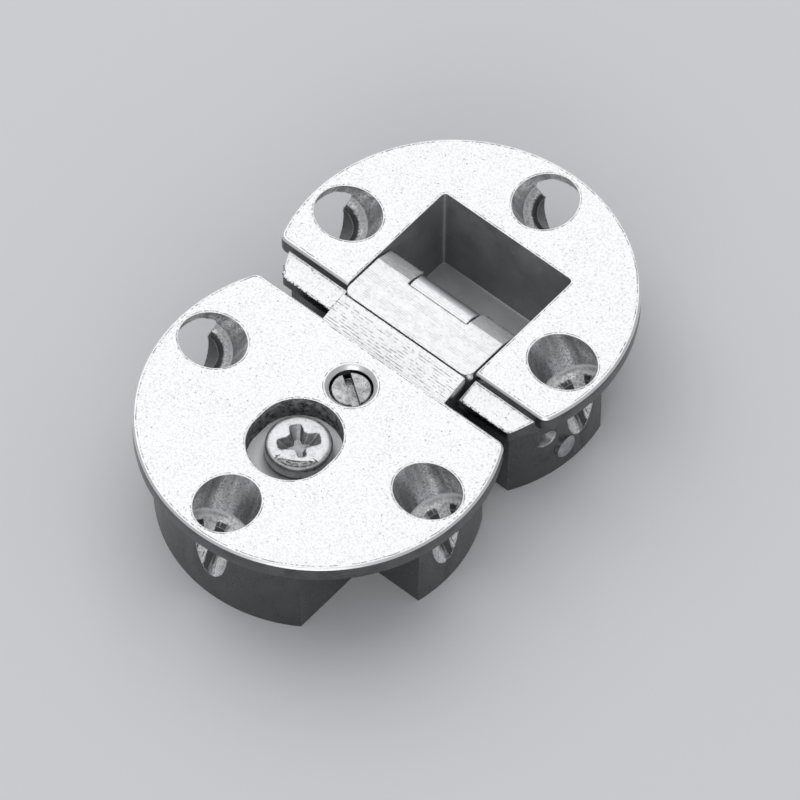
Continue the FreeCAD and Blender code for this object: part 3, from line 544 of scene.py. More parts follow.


# Finishes

# Colours that several finishes use

# Painted highlight along the rims of the flush faces, ledges and screw seats
RIM_HIGHLIGHT = (0.97, 0.97, 0.975)
PALE_METAL = (0.9, 0.905, 0.91)
DRAWN_STEEL = (0.55, 0.555, 0.565)
# A mid grey for dull burr metal, and the light end of several finishes painted as shade and dark reflection
DULL_AND_SHADED_METAL = (0.5, 0.503, 0.51)
SHADED_METAL = (0.07, 0.071, 0.073)


class Finish:
    """A metal whose colour is laid on in steps, with its surface detail read from the groups."""

    def __init__(self, name, metallic=1.0):
        self.material = bpy.data.materials.new(name)
        self.material.use_nodes = True
        self.tree = self.material.node_tree
        self.shader = self.tree.nodes["Principled BSDF"].inputs
        self.shader["Metallic"].default_value = metallic
        coordinates = self.tree.nodes.new("ShaderNodeTexCoord").outputs
        self.place = coordinates["Object"]
        self.facing = coordinates["Normal"]

    def group(self, group, **inputs):
        """Places a group on the object's own coordinates, with its other inputs by name."""
        named = {name.replace("_", " "): value for name, value in inputs.items()}
        return put(self.tree, "ShaderNodeGroup", {"Place": self.place, **named}, node_tree=group).outputs

    def surface_map(self):
        return put(self.tree, "ShaderNodeUVMap", uv_map=SURFACE_MAP).outputs["UV"]

    def blend(self, share, low, high):
        """From the low colour to the high one as the share goes from 0 to 1."""
        node = put(self.tree, "ShaderNodeMix", {0: share}, data_type="RGBA")
        for index, value in ((6, low), (7, high)):
            if isinstance(value, bpy.types.NodeSocket):
                self.tree.links.new(value, node.inputs[index])
            else:
                node.inputs[index].default_value = (*value, 1.0)
        return node.outputs[2]

    def tint(self, base, colour, mask, amount):
        """Lays a colour over the base where the mask is, as strongly as the amount."""
        return self.blend(times(mask, amount), base, colour)

    def mottled(self, grain, low, high):
        """The low and the high colour in the soft patches of the grain."""
        return self.blend(span(grain["Mottle"], *MOTTLE), low, high)

    def feed(self, name, socket):
        self.tree.links.new(socket, self.shader[name])

    def coat(self, colour, rough, height=None, depth=0.0, strength=0.0, base=None):
        """Joins up the shader, with relief of a depth in millimetres, and gives the material."""
        self.feed("Base Color", colour)
        self.feed("Roughness", rough)
        if height is not None:
            relief = {"Height": height, "Distance": depth * MM, "Strength": strength}
            if base is not None:
                relief["Normal"] = base
            self.feed("Normal", put(self.tree, "ShaderNodeBump", relief).outputs["Normal"])
        return self.material


def make_flange_plating():
    """Bright plating on the flush faces, with fine specks and crumbly edges."""
    finish = Finish("flange_plating")
    grain = finish.group(CASTING_GRAIN, Speck_Scale=3600.0, Pit_Bar=0.69)
    edge = finish.group(EDGE_SHINE, Reach=0.16 * MM)
    base = finish.mottled(grain, (0.88, 0.885, 0.89), (0.95, 0.95, 0.955))
    sand = noise_at(finish.place, 5600.0, 2.0, 0.6)
    sanded = finish.blend(span(sand, 0.48, 0.66), base, (0.75, 0.755, 0.76))
    specked = finish.tint(sanded, (0.56, 0.565, 0.57), grain["Specks"], 0.42)
    pitted = finish.tint(specked, (0.25, 0.25, 0.255), grain["Pits"], 0.7)
    inward = split(finish.surface_map())["Y"]
    wander = noise_at(finish.place, 420.0, 2.0, 0.6)
    crumbs = sway(noise_at(finish.place, 3000.0, 5.0, 0.85), wander, 0.4)
    score = band(sway(inward, wander, 0.7), 0.3, 0.5, 0.6, 0.85)
    scored = times(score, span(inward, 1.0, 0.9), span(crumbs, 0.47, 0.54))
    # A painted highlight along the rims of the flush faces and ledges
    highlighted_rim = finish.blend(span(inward, 0.34, 0.2), pitted, RIM_HIGHLIGHT)
    colour = finish.tint(highlighted_rim, (0.1, 0.1, 0.103), scored, 0.85)
    rough = plus(span(grain["Mottle"], *MOTTLE, 0.30, 0.38), times(grain["Pits"], 0.2))
    return finish.coat(colour, rough, grain["Height"], 0.02, 0.5, edge["Rounded"])


def make_casting_skin():
    """Plated skin of the round bodies, painted dark as the shade and dark reflections on their sides, its
    crumbly edges painted lighter as highlights.
    """
    finish = Finish("shaded_casting_skin")
    grain = finish.group(CASTING_GRAIN, Mottle_Scale=420.0, Speck_Scale=2400.0, Pit_Bar=0.66)
    edge = finish.group(EDGE_SHINE, Reach=0.14 * MM)
    base = finish.mottled(grain, (0.1, 0.102, 0.106), (0.165, 0.167, 0.172))
    specked = finish.tint(base, (0.24, 0.243, 0.248), grain["Specks"], 0.3)
    pitted = finish.tint(specked, (0.04, 0.04, 0.042), grain["Pits"], 0.7)
    colour = finish.tint(pitted, (0.5, 0.505, 0.51), edge["Ragged Edge"], 0.6)
    rough = span(grain["Mottle"], 0.3, 0.75, 0.24, 0.42)
    return finish.coat(colour, rough, grain["Height"], 0.03, 0.6, edge["Rounded"])


def make_bore_finish():
    """Drilled and plated walls of the screw holes, with painted highlight bands and painted shade on the
    shank walls, and a bright grainy seat.
    """
    finish = Finish("bore_finish")
    marks = finish.group(BORE_MARKS, Bore_Map=finish.surface_map())
    edge = finish.group(EDGE_SHINE, Reach=0.12 * MM)
    head = finish.blend(marks["Bands"], (0.3, 0.303, 0.31), PALE_METAL)
    # Shank walls painted dark as shade, with the painted highlight bands on one side
    shank = finish.blend(marks["Burnish"], (0.085, 0.086, 0.088), (0.9, 0.9, 0.905))
    wall = finish.blend(marks["Shank"], head, shank)
    ringed = finish.blend(span(marks["Rings"], 0.55, 0.72, 0.0, 0.5), wall, (0.2, 0.202, 0.206))
    pecked = finish.tint(ringed, (0.1, 0.101, 0.104), marks["Grit"], 0.5)
    # The seat: a bright cut, brightened further as a painted highlight
    cone = finish.tint((0.98, 0.98, 0.985), (0.3, 0.302, 0.306), marks["Grit"], 0.5)
    seated = finish.blend(marks["Seat"], pecked, cone)
    shaded = finish.tint(seated, (0.12, 0.121, 0.124), marks["Under Rim"], 0.4)
    # A thin painted highlight on the seat's upper rim
    rimmed = finish.tint(shaded, RIM_HIGHLIGHT, marks["Seat Rim"], 0.85)
    colour = finish.tint(rimmed, (0.93, 0.93, 0.935), edge["Edge"], 0.6)
    # Painted highlights and the seat are made less metallic, so they show bright without a bright reflection
    bright = most(marks["Seat"], marks["Seat Rim"], times(marks["Shank"], marks["Burnish"]))
    finish.feed("Metallic", span(bright, 0.0, 1.0, 1.0, 0.3))
    rough = span(marks["Bands"], 0.0, 1.0, 0.34, 0.2)
    return finish.coat(colour, rough, marks["Height"], 0.035, 0.7, edge["Rounded"])


def make_well_finish(name, low, high, mottle=300.0):
    """Walls and floors of the well and the pocket, in greys painted as the shade that falls in these
    recesses, with scattered specks.
    """
    finish = Finish(name, metallic=0.75)
    grain = finish.group(CASTING_GRAIN, Mottle_Scale=mottle, Speck_Scale=2100.0, Pit_Bar=0.67)
    edge = finish.group(EDGE_SHINE, Reach=0.2 * MM)
    specked = finish.tint(finish.mottled(grain, low, high), (0.6, 0.6, 0.605), grain["Pits"], 0.5)
    colour = finish.tint(specked, tuple(c * 1.5 for c in high), edge["Edge"], 0.5)
    rough = span(grain["Mottle"], *MOTTLE, 0.42, 0.55)
    return finish.coat(colour, rough, grain["Height"], 0.02, 0.5)


def make_machined_finish(name, dark, bright, pitch, dashes, share, depth):
    """Plated steel with rows of tool marks along the pins, their pitch and depth in millimetres."""
    finish = Finish(name)
    marks = finish.group(MACHINED_LINES, Facing=finish.facing, Pitch=pitch * MM, Dashes=dashes)
    grain = finish.group(CASTING_GRAIN)
    edge = finish.group(EDGE_SHINE, Reach=0.12 * MM)
    base = finish.mottled(grain, tuple(c * 0.9 for c in bright), bright)
    specked = finish.tint(base, dark, grain["Specks"], 0.35)
    lined = finish.tint(specked, dark, marks["Lines"], share)
    # Dark crumbly edges: partly torn metal, partly painted shade along the edges where the gaps behind the
    # block and tongue lie dark
    colour = finish.tint(lined, (0.14, 0.14, 0.145), edge["Ragged Edge"], 0.7)
    rough = span(marks["Lines"], 0.0, 1.0, 0.30, 0.42)
    return finish.coat(colour, rough, marks["Height"], depth, 0.7, edge["Rounded"])


def make_screw_zinc(name, low, high, rough, scuffed_share=0.45, mottle=1300.0):
    """Zinc-plated screw steel, scuffed by drivers."""
    finish = Finish(name)
    grain = finish.group(CASTING_GRAIN, Mottle_Scale=mottle)
    edge = finish.group(EDGE_SHINE, Reach=0.1 * MM)
    scuffs = span(noise_at(finish.place, 2400.0, 4.0, 0.7, 1.2), 0.5, 0.66)
    base = finish.blend(span(grain["Mottle"], 0.32, 0.7), low, high)
    scuffed = finish.tint(base, tuple(c * 0.4 for c in low), scuffs, scuffed_share)
    colour = finish.tint(scuffed, (0.94, 0.94, 0.945), edge["Edge"], 0.8)
    uneven = span(grain["Mottle"], *MOTTLE, rough, rough + 0.14)
    return finish.coat(colour, uneven, grain["Height"], 0.025, 0.7, edge["Rounded"])


def make_pin_steel(name, low, high):
    """Turned pin steel, mottled on its ends."""
    finish = Finish(name)
    grain = finish.group(CASTING_GRAIN, Mottle_Scale=1500.0)
    edge = finish.group(EDGE_SHINE, Reach=0.1 * MM)
    colour = finish.tint(finish.mottled(grain, low, high), (0.85, 0.85, 0.855), edge["Edge"], 0.6)
    rough = span(grain["Mottle"], *MOTTLE, 0.28, 0.42)
    return finish.coat(colour, rough, grain["Height"], 0.02, 0.6)


def make_burr_metal(name, low, high):
    """Torn and crushed metal of the burrs."""
    finish = Finish(name)
    shreds = noise_at(finish.place, 6000.0, 3.0, 0.7)
    colour = finish.blend(span(shreds, 0.4, 0.6), low, high)
    return finish.coat(colour, span(shreds, 0.4, 0.6, 0.35, 0.6))


FLANGE_PLATING = make_flange_plating()
SHADED_CASTING_SKIN = make_casting_skin()
BORE_FINISH = make_bore_finish()
# The well's walls and floor: darker and paler copies of one grey, painted as shade
SHADED_WELL_WALLS = make_well_finish("shaded_well_walls", (0.36, 0.363, 0.372), (0.47, 0.473, 0.482))
PALE_RECESS = make_well_finish("pale_recess", (0.56, 0.563, 0.57), (0.68, 0.683, 0.69))
# The pocket's floor and walls: lit and shaded copies of one grey, the walls painted dark as shade
POCKET_FLOOR = make_well_finish("pocket_floor", (0.74, 0.743, 0.75), (0.88, 0.883, 0.89))
SHADED_POCKET_WALLS = make_well_finish("shaded_pocket_walls", SHADED_METAL, DULL_AND_SHADED_METAL, mottle=1900.0)
ARM_FINISH = make_machined_finish(
    "arm_finish", (0.34, 0.343, 0.348), PALE_METAL, pitch=0.27, dashes=0.47, share=0.8, depth=0.012
)
BLOCK_FINISH = make_machined_finish(
    "block_finish", (0.55, 0.555, 0.56), (0.88, 0.885, 0.89), pitch=0.24, dashes=0.5, share=0.55, depth=0.01
)
# The ears' sloped faces: a darker copy of the block's finish, painted as shade, with coarser tool marks
SHADED_EAR_FINISH = make_machined_finish(
    "shaded_ear_finish", (0.24, 0.242, 0.246), DULL_AND_SHADED_METAL, pitch=0.21, dashes=0.75, share=0.8, depth=0.015
)
LINK_FINISH = make_machined_finish(
    "link_finish", (0.2, 0.2, 0.205), DRAWN_STEEL, pitch=0.25, dashes=0.4, share=0.4, depth=0.02
)
CLAMP_ZINC = make_screw_zinc("clamp_screw_zinc", (0.66, 0.665, 0.675), (0.86, 0.865, 0.875), rough=0.26)
HEIGHT_ZINC = make_screw_zinc(
    "height_screw_zinc", (0.3, 0.303, 0.31), (0.68, 0.685, 0.695), rough=0.28, scuffed_share=0.85
)
# Near-black zinc of the groove by the cross: a driver's scar, painted as a dark reflection along the head's
# near rim
SCAR_AND_REFLECTION_ZINC = make_screw_zinc(
    "scar_and_reflection_zinc", (0.03, 0.031, 0.033), DULL_AND_SHADED_METAL, rough=0.34, scuffed_share=0.95, mottle=2600.0
)
# Darker zinc, painted as the shade in the cross recess and the slot and on the head's lower side
SHADED_ZINC = make_screw_zinc("shaded_zinc", (0.26, 0.262, 0.27), DULL_AND_SHADED_METAL, rough=0.3)
PIN_STEEL = make_pin_steel("pin_steel", (0.34, 0.345, 0.355), DRAWN_STEEL)
# The link pin's end, sunk in its hole, painted dark as shade
SHADED_PIN_STEEL = make_pin_steel("shaded_pin_steel", SHADED_METAL, (0.16, 0.162, 0.166))
BURR_METAL = make_burr_metal("burr_metal", (0.05, 0.05, 0.052), DULL_AND_SHADED_METAL)
BRIGHT_BURRS = make_burr_metal("bright_burrs", (0.5, 0.5, 0.505), (0.95, 0.95, 0.955))


# Cups


def in_cup_frame(spot, cup_y, facing):
    """A place in millimetres, seen from the cup: y away from the seam and z up from the flush face."""
    return Vector((spot.x * facing, (spot.y - cup_y) * facing, spot.z - TOP))


def from_pocket_line(spot):
    """How far a place in the arm cup lies from the short line that the pocket is drawn out along."""
    nearest = min(max(spot.y, POCKET_START), POCKET_END)
    return math.hypot(spot.x, spot.y - nearest)


def bore_axes(cup_y, turn):
    """Each screw hole of a cup: its mouth, axis and outward way, and the hand and shift of its angle map."""
    holes = []
    for degrees, hand in ((0, 1), (90, -1), (180, 1)):
        angle = math.radians(degrees) + turn
        out = Vector((math.cos(angle), math.sin(angle), 0))
        mouth = Vector((0, cup_y, TOP)) + out * HOLE_REACH
        axis = out * math.sin(HOLE_TILT) - Vector((0, 0, math.cos(HOLE_TILT)))
        # Only the holes on the camera's side get the painted highlight bands; the others stay in painted
        # shade
        shift = SHADED_HOLE_TURN if out.x < out.y else 0.0
        holes.append((mouth, axis.normalized(), out, hand, shift))
    return holes


def bore_radius(run):
    """Radius of a screw hole this far down its axis."""
    share = min(max((run - SEAT_START) / (SEAT_END - SEAT_START), 0.0), 1.0)
    return HEAD_BORE + (SHANK_BORE - HEAD_BORE) * share


def about_bore(point, hole):
    """A point's run down a screw hole's axis and its offset from that axis, in millimetres."""
    mouth, axis = hole[:2]
    spot = point / MM - mouth
    run = spot.dot(axis)
    return run, spot - axis * run


def in_bore(holes, face):
    """The hole whose wall this face is part of, if any."""
    for hole in holes:
        for vert in face.verts:
            run, side = about_bore(vert.co, hole)
            if not -BORE_RISE < run < BORE_RUN or abs(side.length - bore_radius(run)) > BORE_SLACK:
                break
        else:
            side = about_bore(face.calc_center_median(), hole)[1]
            if face.normal.dot(side.normalized()) < -0.25:
                return hole
    return None


def map_bore(face, hole, surface_map):
    """Writes angle and depth to the face's map, with the seam on the outer side."""
    axis, out, hand, shift = hole[1:]
    across = axis.cross(out).normalized()
    outward = across.cross(axis)
    start = None
    for loop in face.loops:
        run, side = about_bore(loop.vert.co, hole)
        angle = math.atan2(side.dot(across), -side.dot(outward))
        if start is None:
            start = angle
        angle -= 2 * math.pi * round((angle - start) / (2 * math.pi))
        loop[surface_map].uv = (angle * hand - shift, run)


CUP_FINISHES = (
    FLANGE_PLATING, SHADED_CASTING_SKIN, BORE_FINISH, SHADED_WELL_WALLS, PALE_RECESS, SHADED_POCKET_WALLS, POCKET_FLOOR
)
FLANGE, SHADED_SKIN, BORE, SHADED_WELL, PALE, SHADED_POCKET, FLOOR = range(len(CUP_FINISHES))


def link_cup_finish(spot, normal):
    """The finish of a face inside the well or on the link pin's hole, if the face is there."""
    half = abs(spot.x)
    below_rim = -WELL_DEPTH - 2 * SLACK < spot.z < -WALL_START
    if below_rim and half < WELL_HALF + SLACK and spot.y < WELL_BACK + SLACK:
        # The back corners and the floor take the paler painted shade, the other walls the darker one
        in_corner = half > WELL_HALF - WELL_CORNER / 2 and spot.y > WELL_BACK - WELL_CORNER / 2
        if in_corner and abs(normal.z) < 0.3:
            return PALE
        if half < WELL_HALF + 0.01 and spot.y > -LEDGE_OUTER:
            return PALE if normal.z > 0.9 else SHADED_WELL
    from_pin = math.hypot(spot.y + LINK_PIN_BACK, spot.z + LINK_PIN_DEPTH)
    return FLANGE if half > WELL_HALF and from_pin < LINK_PIN_RADIUS + SLACK else None


def arm_cup_finish(spot, normal):
    """The finish of a face inside the pocket, if the face is there."""
    below_rim = -POCKET_DEPTH - 2 * SLACK < spot.z < -WALL_START
    if below_rim and from_pocket_line(spot) < POCKET_RADIUS + SLACK:
        # Faces that look up take the pale floor, the walls the painted shade
        return FLOOR if normal.z > 0.5 else SHADED_POCKET
    return None


def outer_finish(spot, normal):
    """The finish of a cup's outside: bright on the flush face and the ledge, else the cast skin painted dark
    as shade.
    """
    # Faces that look up keep the bright plating; the others take the painted shade of the skin
    return FLANGE if normal.z > 0.3 and spot.z > -LEDGE_FOOT - 0.3 else SHADED_SKIN


def ring_the_rims(bm, surface_map):
    """A narrow ring inside each edge of the flush faces and ledges, mapped 0 at the edge to 1 inside."""

    def is_top(face):
        depth = TOP - face.calc_center_median().z / MM
        on_ledge = 0.3 < depth < LEDGE_FOOT + 0.1 and 0.96 < face.normal.z < 0.98
        return (depth < 0.01 and face.normal.z > 0.99) or on_ledge

    tops = [face for face in bm.faces if is_top(face)]
    ring = bmesh.ops.inset_region(bm, faces=tops, thickness=RIM_RING * MM, use_even_offset=True)["faces"]
    inside = {vert for face in tops for vert in face.verts}
    for face in ring + tops:
        for loop in face.loops:
            loop[surface_map].uv = (0.0, 1.0 if loop.vert in inside else 0.0)


def burr_paths(bm, node, cup_y, facing, holes):
    """The edges of a cup that carry burrs: flush rims, breakouts, and the ledge or the pocket."""

    def middle_of(edge):
        start, end = (in_cup_frame(vert.co / MM, cup_y, facing) for vert in edge.verts)
        return (start + end) / 2

    def on_flush_rim(edge):
        steep, flat = slopes(edge)
        return middle_of(edge).z > -0.01 and flat > 0.99 and steep < 0.95

    def on_pocket_rim(edge):
        return on_flush_rim(edge) and abs(from_pocket_line(middle_of(edge)) - POCKET_RADIUS) < 0.3

    def on_breakout(edge):
        found = [in_bore(holes, face) for face in edge.link_faces]
        return middle_of(edge).z < -FLANGE_UNDERSIDE and (found[0] is None) != (found[1] is None)

    def on_ledge(edge):
        middle = middle_of(edge)
        steep, flat = slopes(edge)
        front = -LEDGE_OUTER - 0.1 < middle.y < -LEDGE_OUTER + 0.6 and abs(middle.x) > WELL_HALF
        return front and middle.z > -LEDGE_FOOT - 0.1 and flat > 0.9 and steep < 0.3

    paths = {
        "rims": along_edges(bm, f"{node}_rims", on_flush_rim, RIM_SINK),
        "breakouts": along_edges(bm, f"{node}_breakouts", on_breakout),
    }
    if node == "link_cup":
        paths["ledge"] = along_edges(bm, "ledge_path", on_ledge)
    else:
        paths["pocket"] = along_edges(bm, "pocket_path", on_pocket_rim, POCKET_SINK)
    return paths


def dress_cup(node, cup_y, turn, inner_finish):
    """Dresses a cup's casting and gives the paths of its burrs."""
    bm = merged_mesh(cad[node].data)
    holes = bore_axes(cup_y, turn)
    facing = -1 if turn else 1
    paths = burr_paths(bm, node, cup_y, facing, holes)
    ease_edges(bm, EASE)
    surface_map = bm.loops.layers.uv.new(SURFACE_MAP)
    ring_the_rims(bm, surface_map)
    split_large_faces(bm)
    for face in bm.faces:
        hole = in_bore(holes, face)
        if hole:
            face.material_index = BORE
            map_bore(face, hole, surface_map)
        else:
            spot = in_cup_frame(face.calc_center_median() / MM, cup_y, facing)
            inner = inner_finish(spot, face.normal)
            face.material_index = outer_finish(spot, face.normal) if inner is None else inner
    piece = new_piece(f"{node}_casting", to_mesh(bm, f"{node}_casting"))
    take_place(piece, node, node, CUP_FINISHES)
    return paths


link_paths = dress_cup("link_cup", LINK_CUP_Y, 0.0, link_cup_finish)
arm_paths = dress_cup("arm_cup", ARM_CUP_Y, math.pi, arm_cup_finish)


# Burrs


RIM_GRIT = dict(least_size=0.02 * MM, most_size=0.045 * MM, stray=0.012 * MM)
FINE_GRIT = dict(least_size=0.015 * MM, most_size=0.07 * MM, stray=0.04 * MM)
COARSE_GRIT = dict(least_size=0.02 * MM, most_size=0.11 * MM, stray=0.07 * MM)


def add_burrs(name, body, slot, path, metal, **sizes):
    """Strews burrs along a path, as a piece of their own on a body."""
    settings = {label.replace("_", " ").title(): value for label, value in sizes.items()}
    mesh = run_tree(BURR_BEADS, path, {**settings, "Metal": metal})
    mesh.name = name
    piece = new_piece(name, mesh)
    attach(piece, body)


for body, paths, seed in (("link_cup", link_paths, 11), ("arm_cup", arm_paths, 23)):
    add_burrs(
        f"{body}_rim_crumbs", body, "bright_plating", paths["rims"], BURR_METAL,
        spacing=0.1 * MM, share=0.45, seed=seed, **RIM_GRIT,
    )
    add_burrs(
        f"{body}_breakout_burrs", body, "bright_plating", paths["breakouts"], BRIGHT_BURRS,
        spacing=0.09 * MM, share=0.6, seed=seed + 1, **FINE_GRIT,
    )
add_burrs(
    "ledge_burrs", "link_cup", "bright_plating", link_paths["ledge"], BURR_METAL,
    spacing=0.09 * MM, share=0.75, seed=31, **COARSE_GRIT,
)
add_burrs(
    "pocket_burrs", "arm_cup", "bright_plating", arm_paths["pocket"], BURR_METAL,
    spacing=0.08 * MM, share=0.6, seed=37, **FINE_GRIT,
)


# Arm, block, tongue and links


def dress_plain(node, body, materials, width=EASE, crease=CREASE, choose=None):
    """Dresses a piece of the works, with one finish or one chosen by each face's normal."""
    bm = merged_mesh(cad[node].data)
    ease_edges(bm, width)
    split_large_faces(bm)
    if choose:
        for face in bm.faces:
            face.material_index = choose(face.normal)
    piece = new_piece(f"{node}_dressed", to_mesh(bm, f"{node}_dressed"))
    take_place(piece, node, body, materials, crease)


# Faces that slope towards +y take the ears' painted shade
def on_ear(normal):
    return int(normal.y > 0.2 and normal.z < 0.985)


def ear_edge():
    """The far edge of the fork block's ears, where the cutter tore the metal."""

    def torn(edge):
        fronts = sorted(face.normal.y for face in edge.link_faces)
        return fronts[1] > 0.9 and 0.2 < fronts[0] < 0.6

    bm = merged_mesh(cad["fork_block"].data)
    path = along_edges(bm, "ear_edge", torn)
    bm.free()
    return path


add_burrs(
    "ear_burrs", "arm", "brushed_plating", ear_edge(), BURR_METAL,
    spacing=0.06 * MM, share=0.8, seed=47, **FINE_GRIT,
)
dress_plain("arm", "arm", [ARM_FINISH])
dress_plain("fork_block", "arm", [BLOCK_FINISH, SHADED_EAR_FINISH], crease=BLOCK_CREASE, choose=on_ear)
dress_plain("tongue", "tongue", [BLOCK_FINISH], width=TONGUE_EASE)
dress_plain("side_link_left", "side_links", [LINK_FINISH])
dress_plain("side_link_right", "side_links", [LINK_FINISH])

for pin in ("tongue_pin", "link_pin", "knuckle_pin", "arm_pin", "block_pin"):
    cad[pin].data.materials.clear()
    # The sunk link pin takes the steel painted dark as shade
    cad[pin].data.materials.append(SHADED_PIN_STEEL if pin == "link_pin" else PIN_STEEL)


# Screws


def wind_thread(centre, start, **sizes):
    """A thread on an upright axis that winds down from the start height."""
    point = bpy.data.meshes.new("thread_start")
    point.from_pydata([Vector((centre[0], centre[1], start - sizes["length"])) * MM], [], [])
    settings = {label.title(): value if label == "turns" else value * MM for label, value in sizes.items()}
    return run_tree(SCREW_THREAD, point, {**settings, "Metal": CLAMP_ZINC})


def finish_screw(piece, thread, node, materials, choose):
    """Eases the edges, joins the thread and gives each face its finish."""
    bm = merged_mesh(piece.data)
    ease_edges(bm, SCREW_EASE, least_angle=40)
    split_large_faces(bm)
    for face in bm.faces:
        face.material_index = choose(face.calc_center_median() / MM, face.normal)
    bm.from_mesh(thread)
    rough = piece.data
    piece.data = to_mesh(bm, node)
    for mesh in (thread, rough):
        bpy.data.meshes.remove(mesh)
    take_place(piece, node, node, materials)


def cross_outline():
    """The cross recess, worn by drivers: four blunt wings of unlike width."""
    # Reach and half width of each wing
    wings = ((1.85, 0.48), (2.1, 0.72), (2.0, 0.66), (2.08, 0.68))
    # The near side of a wing, as shares of its reach and half width. The far side is a tenth thinner.
    side = ((0.5, 1.08), (0.8, 1.02), (0.95, 0.85), (1.0, 0.35))
    outline = []
    for quarter, (reach, half) in enumerate(wings):
        turn = CROSS_TURN + quarter * math.pi / 2
        cos, sin = math.cos(turn), math.sin(turn)
        near = [(along * reach, -across * half) for along, across in side]
        far = [(along, -across * 0.9) for along, across in reversed(near)]
        outline += [(along * cos - across * sin, along * sin + across * cos) for along, across in near + far]
    return outline


def make_clamp_screw():
    """The clamp screw: domed head, worn cross recess, a driver's scar beside it painted near black as a dark
    reflection along the head's near rim, and a thread.
    """
    centre = Vector((0.0, CLAMP_Y))
    profile = [
        (0, 0.0), (2.2, 0.0), (2.72, 0.03), (2.92, 0.09), (3.08, 0.2), (3.17, 0.36), (CLAMP_HEAD, 0.55),
        (CLAMP_HEAD, 1.42), (3.13, 1.52), (3.0, 1.55), (1.72, 1.55), (1.64, 1.7), (1.64, 7.0),
        (1.3, 7.4), (0, 7.4),
    ]
    name = "clamp_screw_turned"
    screw = new_piece(name, to_mesh(turned(profile, centre, CLAMP_TOP), name))
    levels = [(CLAMP_TOP + 0.3, 1.1), (CLAMP_TOP, 1.0), (CLAMP_TOP - CROSS_DEPTH, 0.5)]
    cut(screw, tapered_prism(cross_outline(), centre, levels), "cross_recess")
    scar = bent_rod(centre, CLAMP_TOP + 0.3, SCAR_REACH, SCAR_RADIUS, SCAR_START, SCAR_END)
    cut(screw, scar, "driver_scar")
    thread = wind_thread(centre, CLAMP_TOP - 1.9, turns=7.0, length=5.0, reach=1.68, tooth=0.25)

    def choose(spot, normal):
        out = spot.xy - centre
        angle = math.degrees(math.atan2(out.y, out.x))
        height = spot.z - CLAMP_TOP
        # The groove's floor takes the near-black zinc, a painted dark reflection
        on_reflection_groove = abs(out.length - SCAR_REACH) < SCAR_RADIUS and SCAR_START - 2 < angle < SCAR_END + 2
        if on_reflection_groove and -0.2 < height < -0.015 and normal.z > 0.3:
            return 2
        # The cross recess and the head's lower side take the darker zinc, painted shade
        in_recess = out.length < 2.12 and -CROSS_DEPTH - SLACK < height < -0.03
        on_side = out.length > CLAMP_HEAD - 0.1 and height < -0.4
        return int(in_recess or on_side)

    def on_mouth(edge):
        middle = (edge.verts[0].co + edge.verts[1].co) / 2 / MM
        steep, flat = slopes(edge)
        near = (middle.xy - centre).length < 2.15
        return near and abs(middle.z - CLAMP_TOP) < 0.01 and flat > 0.99 and steep < 0.9

    mouth = along_edges(merged_mesh(screw.data), "cross_mouth", on_mouth, MOUTH_SINK)
    add_burrs(
        "cross_burrs", "clamp_screw", "screw_plating", mouth, BRIGHT_BURRS,
        spacing=0.06 * MM, share=0.8, seed=53, **FINE_GRIT,
    )
    finish_screw(screw, thread, "clamp_screw", (CLAMP_ZINC, SHADED_ZINC, SCAR_AND_REFLECTION_ZINC), choose)


def make_height_screw():
    """The height screw: a slotted grub screw with a thread."""
    centre = (0.0, HEIGHT_Y)
    profile = [
        (0, 0.0), (1.6, 0.0), (1.78, 0.03), (1.9, 0.12), (1.98, 0.25), (1.98, 0.4), (1.78, 0.5),
        (1.78, 3.5), (1.6, 3.85), (0, 3.85),
    ]
    name = "height_screw_turned"
    screw = new_piece(name, to_mesh(turned(profile, centre, HEIGHT_TOP), name))
    along = Vector((math.cos(SLOT_TURN), math.sin(SLOT_TURN))) * 3.0
    aside = Vector((-along.y, along.x)).normalized() * SLOT_HALF
    corners = [-along - aside, along - aside, along + aside, -along + aside]
    slot = tapered_prism(corners, centre, [(HEIGHT_TOP + 0.5, 1.0), (HEIGHT_TOP - SLOT_DEPTH, 1.0)])
    cut(screw, slot, "driver_slot")
    thread = wind_thread(centre, HEIGHT_TOP - 0.6, turns=4.5, length=2.7, reach=1.8, tooth=0.24)

    def choose(spot, normal):
        # The slot's walls take the darker zinc, painted shade
        in_slot = -SLOT_DEPTH - 0.02 < spot.z - HEIGHT_TOP < -WALL_START
        return int(in_slot and abs(normal.z) < 0.5)

    finish_screw(screw, thread, "height_screw", (HEIGHT_ZINC, SHADED_ZINC), choose)


make_clamp_screw()
make_height_screw()


# Studio


def lay_floor():
    mesh = bpy.data.meshes.new("floor")
    half = 1.6
    corners = [(-half, -half, 0), (half, -half, 0), (half, half, 0), (-half, half, 0)]
    mesh.from_pydata(corners, [], [(0, 1, 2, 3)])
    floor = new_piece("floor", mesh)
    material = bpy.data.materials.new("pale_floor")
    material.use_nodes = True
    shader = material.node_tree.nodes["Principled BSDF"].inputs
    shader["Base Color"].default_value = (0.86, 0.865, 0.875, 1.0)
    shader["Roughness"].default_value = 0.75
    shader["Specular IOR Level"].default_value = 0.2
    mesh.materials.append(material)


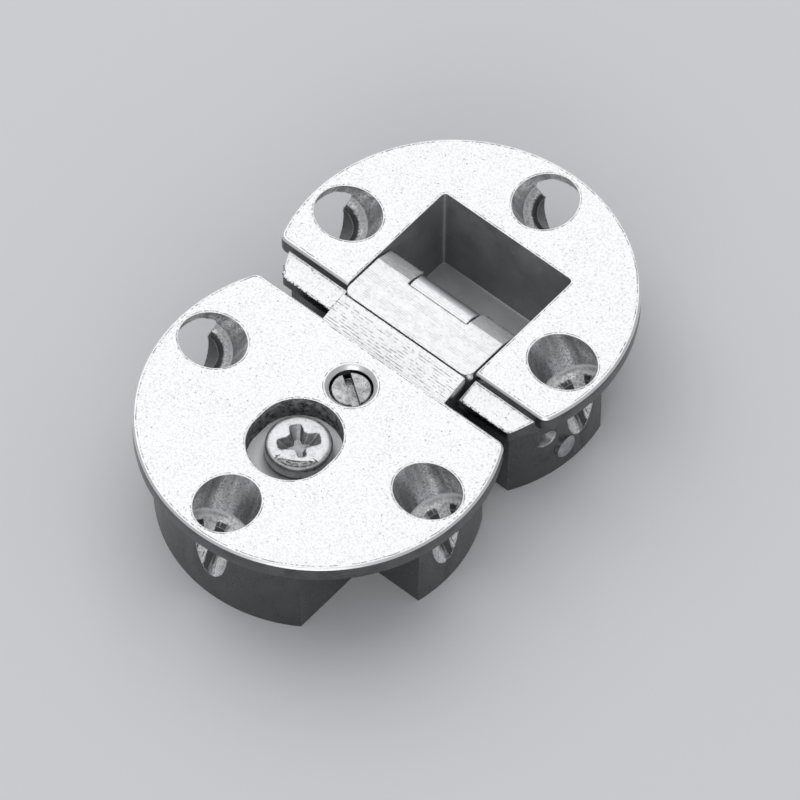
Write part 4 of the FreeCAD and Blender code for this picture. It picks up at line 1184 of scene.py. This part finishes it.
def hang_lamp(name, azimuth, elevation, distance, width, height, radiance):
    """An area lamp aimed at the hinge, its power set from the brightness it shows."""
    lamp = bpy.data.lights.new(name, "AREA")
    lamp.shape = "RECTANGLE"
    lamp.size = width
    lamp.size_y = height
    lamp.energy = radiance * math.pi * width * height
    holder = bpy.data.objects.new(name, lamp)
    turn, rise = math.radians(azimuth), math.radians(elevation)
    aim = Vector((math.sin(turn) * math.cos(rise), -math.cos(turn) * math.cos(rise), math.sin(rise)))
    spot = aim * distance
    holder.location = spot
    holder.rotation_euler = spot.to_track_quat("Z", "Y").to_euler()
    bpy.context.scene.collection.objects.link(holder)


def light_studio():
    """A pale sky, a large lamp high behind the hinge, and a small low one on its near side."""
    world = bpy.data.worlds.new("studio")
    bpy.context.scene.world = world
    world.use_nodes = True
    background = world.node_tree.nodes["Background"].inputs
    background["Color"].default_value = (0.93, 0.96, 1.0, 1.0)
    background["Strength"].default_value = 0.42
    hang_lamp("overhead", azimuth=239, elevation=62, distance=0.75, width=0.92, height=0.97, radiance=0.775)
    hang_lamp("near_rim", azimuth=34, elevation=30, distance=0.8, width=0.6, height=0.36, radiance=1.3)


def place_camera():
    """The photograph's view: almost parallel, fitted to the rims, holes and corners."""
    azimuth, elevation, roll = (math.radians(angle) for angle in (39.78, 54.51, -0.83))
    photo_width = 800.0
    pixels_per_mm = 10.69
    focal_pixels = 12000.0
    middle_across, middle_down = 387.8, 351.0
    right = Vector((math.cos(azimuth), math.sin(azimuth), 0))
    level = math.cos(elevation)
    ahead = Vector((-math.sin(azimuth) * level, math.cos(azimuth) * level, -math.sin(elevation)))
    down = ahead.cross(right)
    tilted_right = right * math.cos(roll) + down * math.sin(roll)
    tilted_down = down * math.cos(roll) - right * math.sin(roll)
    distance = focal_pixels / pixels_per_mm
    aside = Vector((middle_across - photo_width / 2, middle_down - photo_width / 2)) / pixels_per_mm
    spot = Vector((0, 0, TOP)) - tilted_right * aside.x - tilted_down * aside.y - ahead * distance
    lens = bpy.data.cameras.new("photograph_view")
    lens.sensor_width = 36.0
    lens.lens = focal_pixels / photo_width * lens.sensor_width
    lens.clip_start = 0.05
    lens.clip_end = 20.0
    camera = bpy.data.objects.new("photograph_view", lens)
    axes = Matrix((tilted_right, -tilted_down, -ahead)).transposed().to_4x4()
    camera.matrix_world = Matrix.Translation(spot * MM) @ axes
    bpy.context.scene.collection.objects.link(camera)
    bpy.context.scene.camera = camera


lay_floor()
light_studio()
place_camera()
bpy.context.scene.view_settings.view_transform = "Standard"
